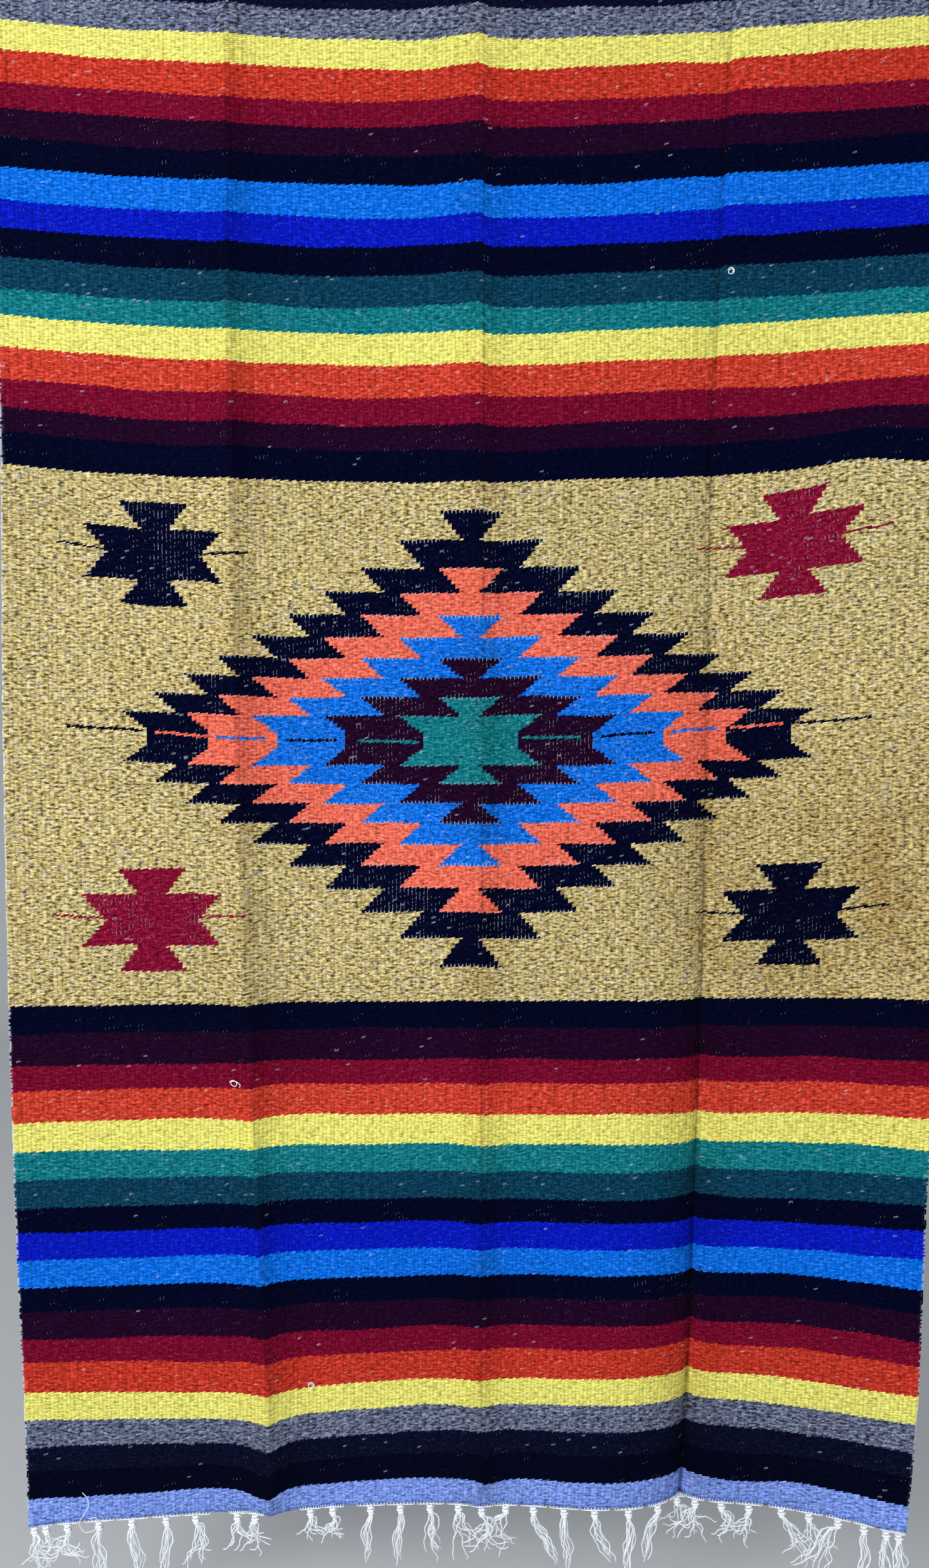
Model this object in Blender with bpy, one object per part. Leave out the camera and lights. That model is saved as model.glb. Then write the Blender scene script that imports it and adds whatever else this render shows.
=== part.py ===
"""Woven Mexican blanket hung flat by its top edge, with knotted fringes at both ends.

Frame: origin at the middle of the top edge, +X across to the right selvedge as seen
from the front, +Z up, and the front faces -Y. Lengths are in metres.
"""

import math

import bpy
import numpy as np

MILLIMETRE = 0.001

# Cloth sizes
CLOTH_WIDTH = 1.200
CLOTH_LENGTH = 2.060
CLOTH_THICKNESS = 0.0026
ROWS_DOWN = 25
PANEL_CELLS = 5
BESIDE_CREASE = (0.45, 1.2, 2.4)

# How the cloth hangs at eight heights. Lengths are in millimetres.
# x: where each line stands. lift: how far it is above its place on a flat cloth.
# near: how far it is in front of the plane of the top edge, without its crease.
HANG_COLUMNS = (
    "down",
    "x_left_edge", "x_left_crease", "x_mid_crease", "x_right_crease", "x_right_edge",
    "lift_left_edge", "lift_left_crease", "lift_mid_crease", "lift_right_crease", "lift_right_edge",
    "near_left_edge", "near_left_crease", "near_mid_crease", "near_right_crease", "near_right_edge",
)
HANG_ROWS = (
    (0, -598, -309, 7, 316, 588, 16, 3, 0, 6, 21, 6, 3, 0, 1, 7),
    (390, -594, -314, 7, 304, 586, 13, 4, 3, 11, 20, 28, 6, 0, 0, 24),
    (677, -591, -314, 7, 298, 584, 14, 3, 1, 9, 20, 46, 8, 0, 0, 38),
    (1015, -596, -311, 6, 300, 586, 15, 6, 4, 10, 22, 56, 10, 0, -2, 46),
    (1354, -599, -302, 5, 299, 589, 10, 0, 2, 3, 16, 60, 12, 0, -4, 50),
    (1650, -600, -291, 5, 294, 583, 11, -1, 1, -2, 10, 59, 13, 1, -5, 53),
    (1950, -598, -281, 4, 288, 577, 10, -8, 1, 1, 2, 56, 15, 1, -5, 57),
    (2060, -598, -281, 4, 283, 569, 8, 1, 1, -2, -1, 56, 16, 1, -4, 60),
)

# The three lengthwise creases. Columns: line, height in millimetres at the top edge,
# half way and at the bottom edge.
CREASES = (
    ("x_left_crease", 5, 10, 12),
    ("x_mid_crease", 3, 7, 9),
    ("x_right_crease", -4, -8, -15),
)
CREASE_REACH = 0.019
CREASE_TIP = 0.005

# How each panel between two lines bows. Columns: first line, second line, bow in
# millimetres at the top edge, half way and at the bottom edge, place of the deepest line.
BOWS = (
    ("x_left_edge", "x_left_crease", -5, -6, -2, 0.36),
    ("x_left_crease", "x_mid_crease", -11, -8, -2, 0.45),
    ("x_mid_crease", "x_right_crease", -5, 4, 20, 0.62),
    ("x_right_crease", "x_right_edge", 4, -7, -14, 0.52),
)

# Fringe sizes
FRAME_STEP = 0.010
HEM_GAP = 0.0006
STRIP_INSET = 0.001
STRIP_HEIGHT = 0.0030
KNOT_ROOT_WIDTH = 0.0070
KNOT_WIDTH = 0.0125
KNOT_DEPTH = 0.0095
KNOT_LENGTH = 0.0120
STRAND_THICKNESS = 0.0017
STRAND_TAPER = 0.3
STRAND_LENGTH = 0.060
STRAND_LENGTH_SPREAD = 0.010
WIDEST_LANE = 0.0070
LANE_USE = 0.8
SEED = 31

# The two fringes. Columns: strands in a tassel, steps down a strand, farthest lean to
# the back and to the front in metres.
BOTTOM_FRINGE = (4, 4, 0.004, 0.004)
TOP_FRINGE = (3, 3, 0.003, 0.000)

# Rings down a knot of the bottom fringe. Columns: part of its length, width and depth.
KNOT_BELOW = (
    (0.25, 0.84, 0.86),
    (0.62, 1.00, 1.00),
    (1.00, 0.66, 0.52),
)

# Rings along a knot of the top fringe. Columns: part of its length backward and downward,
# how far it has turned down, part of its width and depth.
KNOT_BEHIND = (
    (0.30, -0.35, 0.10, 0.80, 0.75),
    (0.62, 0.00, 0.45, 1.00, 1.00),
    (0.72, 0.55, 1.00, 0.72, 0.60),
)
KNOT_SIZE_SPREAD = (0.88, 1.08)
KNOT_ROUNDNESS = 0.72

# Where each tassel of the bottom end is tied, in millimetres across the cloth.
BOTTOM_TASSELS = (
    -592, -577, -549, -508, -464, -418, -378, -321, -296, -220, -189, -136, -94, -52, -12, 21,
    55, 94, 137, 180, 228, 271, 301, 326, 362, 400, 444, 480, 517, 549, 576, 591,
)
TOP_TASSEL_COUNT = 31
TOP_TASSEL_MARGIN = 0.012

FALL = np.array((0.0, 0.0, -1.0))

# Colours: red, green, blue in linear light
CLOTH_COLOUR = (0.33, 0.22, 0.09, 1.0)
FRINGE_COLOUR = (0.72, 0.80, 0.86, 1.0)
CLOTH_ROUGHNESS = 0.92
FRINGE_ROUGHNESS = 0.88


def clear_scene():
    for leftover in list(bpy.data.objects):
        bpy.data.objects.remove(leftover, do_unlink=True)


def hermite(stations, values, at):
    """Smooth curve through the values, with the slope at each station taken from its neighbours."""
    slopes = np.gradient(values, stations)
    cell = np.clip(np.searchsorted(stations, at, side="right") - 1, 0, len(stations) - 2)
    span = stations[cell + 1] - stations[cell]
    t = (at - stations[cell]) / span
    start = (1 + 2 * t) * (1 - t) ** 2 * values[cell]
    start_slope = t * (1 - t) ** 2 * span * slopes[cell]
    end = t ** 2 * (3 - 2 * t) * values[cell + 1]
    end_slope = t ** 2 * (t - 1) * span * slopes[cell + 1]
    return start + start_slope + end + end_slope


def hang_value(column, down):
    """One column of the hang table at the given lengths down the cloth, in metres."""
    table = np.array(HANG_ROWS, float) * MILLIMETRE
    values = table[:, HANG_COLUMNS.index(column)]
    return hermite(table[:, 0], values, np.clip(down, 0.0, CLOTH_LENGTH))


def three_heights(top, half_way, bottom, down):
    """A size that runs smoothly from the top edge by half way to the bottom edge."""
    stations = np.array((0.0, 0.5 * CLOTH_LENGTH, CLOTH_LENGTH))
    values = np.array((top, half_way, bottom), float) * MILLIMETRE
    return hermite(stations, values, np.clip(down, 0.0, CLOTH_LENGTH))


def across_curve(kind, x, down):
    """Smooth curve across the cloth through the five lines of one kind, lift or near."""
    lines = ("left_edge", "left_crease", "mid_crease", "right_crease", "right_edge")
    result = np.empty_like(x)
    for row in range(x.shape[1]):
        here = down[:1, row]
        stations = np.array([hang_value("x_" + line, here)[0] for line in lines])
        values = np.array([hang_value(kind + "_" + line, here)[0] for line in lines])
        result[:, row] = hermite(stations, values, np.clip(x[:, row], stations[0], stations[-1]))
    return result


def cloth_surface(across, down):
    """Points of the cloth's middle surface. Both inputs are grids, across first."""
    left = hang_value("x_left_edge", down)
    right = hang_value("x_right_edge", down)
    x = left + (across / CLOTH_WIDTH + 0.5) * (right - left)
    near = across_curve("near", x, down)
    lift = across_curve("lift", x, down)
    for column, top, half_way, bottom in CREASES:
        away = np.sqrt((x - hang_value(column, down)) ** 2 + CREASE_TIP ** 2) - CREASE_TIP
        near = near + three_heights(top, half_way, bottom, down) * np.exp(-away / CREASE_REACH)
    for start, end, top, half_way, bottom, deepest_at in BOWS:
        first = hang_value(start, down)
        part = np.clip((x - first) / (hang_value(end, down) - first), 0.0, 1.0)
        power = math.log(0.5) / math.log(deepest_at)
        near = near + three_heights(top, half_way, bottom, down) * np.sin(math.pi * part ** power)
    return np.stack((x, -near, lift - down), axis=-1)


def cloth_normals(points):
    """Unit normals of a surface grid, facing the front."""
    along = np.gradient(points, axis=0)
    downward = np.gradient(points, axis=1)
    normals = np.cross(downward, along)
    return normals / np.linalg.norm(normals, axis=-1, keepdims=True)


def across_stations(down):
    """Places across the cloth at one length down it, closer together at the creases."""
    here = np.array((down,))
    left = hang_value("x_left_edge", here)[0]
    right = hang_value("x_right_edge", here)[0]
    edges = [-0.5 * CLOTH_WIDTH]
    for column, _, _, _ in CREASES:
        part = (hang_value(column, here)[0] - left) / (right - left)
        edges.append((part - 0.5) * CLOTH_WIDTH)
    edges.append(0.5 * CLOTH_WIDTH)
    beside = CREASE_REACH * np.array(BESIDE_CREASE)
    stations = list(edges)
    for crease in edges[1:-1]:
        stations.extend(crease + beside)
        stations.extend(crease - beside)
    for start, end in zip(edges[:-1], edges[1:]):
        inner_start = start + (beside[-1] if start != edges[0] else 0.0)
        inner_end = end - (beside[-1] if end != edges[-1] else 0.0)
        stations.extend(np.linspace(inner_start, inner_end, PANEL_CELLS + 1)[1:-1])
    return sorted(stations)


def add_mesh(name, vertices, faces, colour, roughness):
    mesh = bpy.data.meshes.new(name)
    mesh.from_pydata([tuple(map(float, vertex)) for vertex in vertices], [], faces)
    mesh.update()
    material = bpy.data.materials.new(name + "_material")
    material.use_nodes = True
    shader = material.node_tree.nodes["Principled BSDF"]
    shader.inputs["Base Color"].default_value = colour
    shader.inputs["Roughness"].default_value = roughness
    shader.inputs["Metallic"].default_value = 0.0
    mesh.materials.append(material)
    placed = bpy.data.objects.new(name, mesh)
    bpy.context.scene.collection.objects.link(placed)
    return placed


def build_cloth():
    """One closed sheet: a front grid, a back grid and a rim of faces round their edges."""
    lengths = np.linspace(0.0, CLOTH_LENGTH, ROWS_DOWN)
    across = np.array([across_stations(length) for length in lengths]).T
    down = np.broadcast_to(lengths, across.shape)
    middle = cloth_surface(across, down)
    offset = 0.5 * CLOTH_THICKNESS * cloth_normals(middle)
    columns, rows = across.shape
    vertices = np.concatenate(((middle + offset).reshape(-1, 3), (middle - offset).reshape(-1, 3)))
    count = columns * rows
    faces = []
    for i in range(columns - 1):
        for j in range(rows - 1):
            a = i * rows + j
            b = a + rows
            faces.append((a, a + 1, b + 1, b))
            faces.append((count + a, count + b, count + b + 1, count + a + 1))
    rim = [i * rows for i in range(columns)]
    rim += [(columns - 1) * rows + j for j in range(1, rows)]
    rim += [i * rows + rows - 1 for i in range(columns - 2, -1, -1)]
    rim += [j for j in range(rows - 2, 0, -1)]
    for a, b in zip(rim, rim[1:] + rim[:1]):
        faces.append((a, b, count + b, count + a))
    return add_mesh("blanket_cloth", vertices, faces, CLOTH_COLOUR, CLOTH_ROUGHNESS)


def edge_frame(across, down):
    """Points of the cloth's end and, at each, the directions along it, to the front and down."""
    grid_across = np.stack((across, across), axis=-1)
    grid_down = np.broadcast_to(np.array((down - FRAME_STEP, down)), grid_across.shape)
    points = cloth_surface(grid_across, grid_down)
    along = np.gradient(points[:, 1], across, axis=0)
    along /= np.linalg.norm(along, axis=-1, keepdims=True)
    downward = points[:, 1] - points[:, 0]
    front = np.cross(downward, along)
    front /= np.linalg.norm(front, axis=-1, keepdims=True)
    downward = np.cross(along, front)
    return points[:, 1], along, front, downward


class FringeMesh:
    """Vertices and faces of one fringe: a strip beside the hem with tassels growing from it."""

    def __init__(self, sizes, seed):
        self.strands, self.steps, self.lean_back, self.lean_forward = sizes
        self.vertices = []
        self.faces = []
        self.random = np.random.RandomState(seed)

    def add(self, point):
        self.vertices.append(np.array(point, float))
        return len(self.vertices) - 1

    def join(self, first, second):
        """Side faces between two rings with the same number of vertices."""
        for k in range(len(first)):
            following = (k + 1) % len(first)
            self.faces.append((first[k], second[k], second[following], first[following]))

    def knot(self, ring, path):
        """Rings that swell and narrow along a path of frames, from a ring on the strip."""
        for centre, along, facing, width, depth in path:
            row_front = []
            row_back = []
            for k in range(self.strands + 1):
                side = 2.0 * k / self.strands - 1.0
                bulge = math.sqrt(1.0 - KNOT_ROUNDNESS * side * side)
                base = centre + 0.5 * width * side * along
                row_front.append(self.add(base + 0.5 * depth * bulge * facing))
                row_back.append(self.add(base - 0.5 * depth * bulge * facing))
            following = row_front + row_back[::-1]
            self.join(ring, following)
            ring = following
        return ring

    def strand(self, cell, along, front, path):
        """A four-sided strand from one cell of the knot's end along the path."""
        half = 0.5 * STRAND_THICKNESS
        offsets = (front - along, front + along, along - front, -along - front)
        root = np.mean([self.vertices[k] for k in cell], axis=0)
        ring = [self.add(root + half * offset) for offset in offsets]
        self.join(cell, ring)
        for step, point in enumerate(path):
            size = half * (1.0 - STRAND_TAPER * (step + 1) / len(path))
            following = [self.add(point + size * offset) for offset in offsets]
            self.join(ring, following)
            ring = following
        self.faces.append(tuple(ring[::-1]))

    def strand_paths(self, start, along, front, room):
        """For each strand, points that fall from the knot, each wandering in a lane of its own."""
        root_lane = KNOT_WIDTH * KNOT_BELOW[-1][1] / self.strands
        tip_lane = min(WIDEST_LANE, room / self.strands)
        for k in range(self.strands):
            place = k - 0.5 * (self.strands - 1)
            reach = STRAND_LENGTH + self.random.uniform(-1.0, 1.0) * STRAND_LENGTH_SPREAD
            lean = self.random.uniform(-self.lean_back, self.lean_forward)
            path = []
            for step in range(1, self.steps + 1):
                part = step / self.steps
                lane = root_lane + (tip_lane - root_lane) * math.sqrt(part)
                wander = 0.5 * LANE_USE * max(0.0, lane - STRAND_THICKNESS)
                sideways = place * lane + self.random.uniform(-wander, wander)
                forward = lean * part + 0.5 * self.random.uniform(-wander, wander)
                offset = sideways * along + forward * front
                path.append(start + offset + part * reach * FALL)
            yield path

    def finish_tassel(self, ring, path, along, front, room):
        """The knot along its path, then a strand from each cell of the knot's end."""
        ring = self.knot(ring, path)
        front_row = ring[: self.strands + 1]
        back_row = ring[self.strands + 1:][::-1]
        level = along * np.array((1.0, 1.0, 0.0))
        level = level / np.linalg.norm(level)
        facing = np.cross(FALL, level)
        strand_paths = self.strand_paths(path[-1][0], level, facing, room)
        for k, strand_path in enumerate(strand_paths):
            cell = (front_row[k], front_row[k + 1], back_row[k + 1], back_row[k])
            self.strand(cell, level, facing, strand_path)

    def tassel_below(self, ring, root, along, front, room):
        """A tassel that falls from the bottom of its strip."""
        size = self.random.uniform(*KNOT_SIZE_SPREAD)
        path = []
        for part, width, depth in KNOT_BELOW:
            centre = root + part * KNOT_LENGTH * FALL
            path.append((centre, along, front, size * width * KNOT_WIDTH, size * depth * KNOT_DEPTH))
        self.finish_tassel(ring, path, along, front, room)

    def tassel_behind(self, ring, root, along, front, room):
        """A tassel that leaves the back of its strip and falls behind the cloth."""
        back_face = root - 0.5 * CLOTH_THICKNESS * front
        path = []
        for backward, drop, turn, width, depth in KNOT_BEHIND:
            centre = back_face - backward * KNOT_LENGTH * front + drop * KNOT_LENGTH * FALL
            facing = turn * front + (1.0 - turn) * FALL
            facing = facing / np.linalg.norm(facing)
            path.append((centre, along, facing, width * KNOT_WIDTH, depth * KNOT_DEPTH))
        self.finish_tassel(ring, path, along, front, room)


def build_fringe(name, tassels, down, below, sizes, seed):
    """A strip beside one end of the cloth and a knotted tassel at each place across."""
    fringe = FringeMesh(sizes, seed)
    cells = fringe.strands
    half_root = 0.5 * KNOT_ROOT_WIDTH
    places = [np.linspace(centre - half_root, centre + half_root, cells + 1) for centre in tassels]
    strip_end = 0.5 * CLOTH_WIDTH - STRIP_INSET
    stations = np.concatenate(([-strip_end], *places, [strip_end]))
    points, along, front, downward = edge_frame(stations, down)
    away = downward if below else -downward
    half = 0.5 * CLOTH_THICKNESS
    near_edge = points + HEM_GAP * away
    far_edge = points + (HEM_GAP + STRIP_HEIGHT) * away
    corners = []
    for k in range(len(stations)):
        corners.append((
            fringe.add(near_edge[k] + half * front[k]),
            fringe.add(near_edge[k] - half * front[k]),
            fringe.add(far_edge[k] - half * front[k]),
            fringe.add(far_edge[k] + half * front[k]),
        ))
    groups = [range(1 + k * (cells + 1), (k + 1) * (cells + 1) + 1) for k in range(len(tassels))]
    rooted = {k for group in groups for k in group[:-1]}
    open_side = 2 if below else 1
    for k in range(len(stations) - 1):
        for side in range(4):
            if side == open_side and k in rooted:
                continue
            a, b = corners[k][side], corners[k][(side + 1) % 4]
            c, d = corners[k + 1][(side + 1) % 4], corners[k + 1][side]
            fringe.faces.append((a, d, c, b) if below else (a, b, c, d))
    first, last = corners[0], corners[-1]
    fringe.faces.append(first if below else first[::-1])
    fringe.faces.append(last[::-1] if below else last)
    first_row, second_row = (3, 2) if below else (1, 2)
    rooms = np.diff(np.concatenate(([-CLOTH_WIDTH], tassels, [CLOTH_WIDTH])))
    for k, group in enumerate(groups):
        ring = [corners[i][first_row] for i in group]
        ring += [corners[i][second_row] for i in reversed(group)]
        middle = group[cells // 2]
        root = far_edge[middle] if below else near_edge[middle]
        hang = fringe.tassel_below if below else fringe.tassel_behind
        hang(ring, root, along[middle], front[middle], min(rooms[k], rooms[k + 1]))
    return add_mesh(name, fringe.vertices, fringe.faces, FRINGE_COLOUR, FRINGE_ROUGHNESS)


def main():
    clear_scene()
    build_cloth()
    bottom = np.array(BOTTOM_TASSELS) * MILLIMETRE
    build_fringe("bottom_fringe", bottom, CLOTH_LENGTH, True, BOTTOM_FRINGE, SEED)
    reach = 0.5 * CLOTH_WIDTH - TOP_TASSEL_MARGIN
    top = np.linspace(-reach, reach, TOP_TASSEL_COUNT)
    build_fringe("top_fringe", top, 0.0, False, TOP_FRINGE, SEED + 1)


main()
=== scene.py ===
"""A woven blanket hung by its top edge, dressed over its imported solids.

The cloth is one fine sheet on the folds of its solid. Its weave, stripes and stepped
figures are worked out by shader nodes from a chart map laid on the cloth, in metres
across and down. The fringes are knotted bundles of plied cotton ends.
"""

import logging
import math
from dataclasses import dataclass
from enum import Enum
from typing import ClassVar, Sequence

import bpy
import numpy as np
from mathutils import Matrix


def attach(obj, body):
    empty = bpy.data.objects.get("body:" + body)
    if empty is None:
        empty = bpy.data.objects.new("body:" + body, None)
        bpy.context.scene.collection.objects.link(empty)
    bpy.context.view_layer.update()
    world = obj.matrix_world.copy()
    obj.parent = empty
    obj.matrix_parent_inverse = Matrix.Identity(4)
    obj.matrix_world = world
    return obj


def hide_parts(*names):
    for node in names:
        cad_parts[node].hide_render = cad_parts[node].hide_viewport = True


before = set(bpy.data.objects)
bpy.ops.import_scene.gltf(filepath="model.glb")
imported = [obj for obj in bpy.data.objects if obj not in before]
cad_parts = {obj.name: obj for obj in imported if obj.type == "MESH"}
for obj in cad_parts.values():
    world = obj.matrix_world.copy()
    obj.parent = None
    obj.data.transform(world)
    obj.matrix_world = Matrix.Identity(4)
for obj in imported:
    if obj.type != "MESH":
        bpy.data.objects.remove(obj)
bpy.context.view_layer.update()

LOG = logging.getLogger("blanket")
MILLIMETRE = 0.001
Rgba = tuple[float, float, float, float]
Array = np.ndarray
Tubes = tuple[Array, Array]
Socket = bpy.types.NodeSocket
Place = tuple[float, float, float]


def linear(red: int, green: int, blue: int, alpha: float = 1.0) -> Rgba:
    """Turn a screen colour from 0 to 255 into linear light.

    Args:
        red: Red on the screen.
        green: Green on the screen.
        blue: Blue on the screen.
        alpha: The fourth number, passed on as it is.

    Returns:
        The colour in linear light, with alpha.
    """
    levels = np.array((red, green, blue), float) / 255.0
    low = levels / 12.92
    high = ((levels + 0.055) / 1.055) ** 2.4
    mixed = np.where(levels <= 0.04045, low, high)
    return (float(mixed[0]), float(mixed[1]), float(mixed[2]), alpha)


class Yarn(Enum):
    """Dyed weft yarns. The last number is how strongly the yarn is heathered."""

    PERIWINKLE = (122, 150, 230, 0.45)
    BLACK_FLECKED = (8, 12, 36, 0.30)
    BLACK = (2, 4, 26, 0.05)
    GREY = (90, 97, 122, 1.00)
    YELLOW = (232, 226, 114, 0.20)
    ORANGE = (192, 52, 36, 0.35)
    CRIMSON = (116, 8, 42, 0.22)
    PURPLE = (30, 4, 34, 0.20)
    NAVY = (1, 4, 32, 0.12)
    LIGHT_BLUE = (5, 106, 222, 0.25)
    DARK_BLUE = (5, 24, 184, 0.18)
    DARK_TEAL = (7, 58, 83, 0.35)
    TEAL = (13, 116, 126, 0.35)
    ORANGE_INNER = (200, 60, 42, 0.38)
    TAN = (186, 167, 108, 0.95)
    CORAL = (232, 104, 82, 0.40)
    FIGURE_BLUE = (8, 106, 218, 0.35)
    FIGURE_CRIMSON = (126, 12, 46, 0.35)

    @property
    def rgba(self) -> Rgba:
        """The yarn's colour in linear light, with its heather as alpha."""
        red, green, blue, heather = self.value
        return linear(red, green, blue, heather)


@dataclass(frozen=True)
class ClothFinish:
    """Sizes and strengths of the woven cloth's surface, in metres and parts of one."""

    warp_pitch: float = 0.0052
    weft_pitch: float = 0.0022
    row_wander: float = 0.0008
    bead_depth: float = 0.0007
    bump_strength: float = 0.75
    roughness: float = 0.93
    specular: float = 0.03
    fibre_scale: float = 420.0
    fibre_squeeze: float = 3.4
    slub_scale: float = 150.0
    slub_squeeze: float = 2.4
    slub_strength: float = 2.3
    least_light: float = 0.12
    fleck_strength: float = 0.40
    tick_strength: float = 0.5
    figure_heather: float = 0.38
    selvedge_white: float = 0.7
    warp_white: Rgba = linear(214, 222, 232)
    grime: Rgba = linear(190, 160, 120)
    # Colour of the painted shade along the creases and the short level fold.
    fold_shade: Rgba = linear(10, 8, 10)


@dataclass(frozen=True)
class CottonFinish:
    """The undyed cotton of the warp ends."""

    colour: Rgba = linear(226, 236, 244)
    shade: Rgba = linear(118, 134, 156)
    roughness: float = 0.88
    specular: float = 0.2
    plies_per_metre: float = 420.0
    fluff_scale: float = 900.0
    bump_strength: float = 0.6
    ply_depth: float = 0.0003


def station_slopes(stations: Array, values: Array) -> Array:
    """Slopes of a curve at uneven stations along the first axis.

    Inside, each slope is the one of the parabola through a station and its two
    neighbours. At the ends it is the slope of the first or last chord.

    Args:
        stations: Places, growing along the first axis.
        values: The curve's values there.

    Returns:
        The slopes, in the shape of values.
    """
    gaps = np.diff(stations, axis=0)
    chords = np.diff(values, axis=0) / gaps
    before, after = gaps[:-1], gaps[1:]
    inside = (chords[:-1] * after + chords[1:] * before) / (before + after)
    return np.concatenate((chords[:1], inside, chords[-1:]))


def hermite(stations: Array, values: Array, at: Array) -> Array:
    """Cubic curve through values, one curve for each column of the grid.

    Between two stations the value is the cubic that has both stations' values and
    slopes, the slopes being those of station_slopes.

    Args:
        stations: (lines, rows) places along each row's curve.
        values: (lines, rows) values at the stations.
        at: (columns, rows) places where the curves are read.

    Returns:
        (columns, rows) values.
    """
    slopes = station_slopes(stations, values)
    passed = at[None, :, :] >= stations[1:-1, None, :]
    cell = passed.sum(axis=0)
    rows = np.broadcast_to(np.arange(at.shape[1]), at.shape)
    start, end = stations[cell, rows], stations[cell + 1, rows]
    span = end - start
    t = (at - start) / span
    first = (1 + 2 * t) * (1 - t) ** 2 * values[cell, rows]
    first_slope = t * (1 - t) ** 2 * span * slopes[cell, rows]
    last = t**2 * (3 - 2 * t) * values[cell + 1, rows]
    last_slope = t**2 * (t - 1) * span * slopes[cell + 1, rows]
    return first + first_slope + last + last_slope


def hermite_line(stations: Array, values: Array, at: Array) -> Array:
    """The same cubic curve for one line of stations.

    Args:
        stations: Places along the line.
        values: The values there.
        at: Places where the curve is read, in any shape.

    Returns:
        Values in the shape of at.
    """
    flat = hermite(stations[:, None], values[:, None], np.reshape(at, (-1, 1)))
    return flat.reshape(np.shape(at))


def soft_noise(x: Array, y: Array, cell: float, seed: int) -> Array:
    """Smooth random field: random heights on a square lattice, eased between.

    Args:
        x: First coordinate in metres.
        y: Second coordinate in metres.
        cell: The lattice's spacing in metres.
        seed: Which random lattice.

    Returns:
        Values from -1 to 1.
    """
    lattice = np.random.RandomState(seed).uniform(-1.0, 1.0, (256, 256))
    u, v = x / cell + 128.0, y / cell + 128.0
    i, j = np.floor(u).astype(int), np.floor(v).astype(int)
    a, b = u - i, v - j
    a, b = a * a * (3 - 2 * a), b * b * (3 - 2 * b)
    i, j, i1, j1 = i % 256, j % 256, (i + 1) % 256, (j + 1) % 256
    low = lattice[i, j] * (1 - a) + lattice[i1, j] * a
    high = lattice[i, j1] * (1 - a) + lattice[i1, j1] * a
    return low * (1 - b) + high * b


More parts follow.
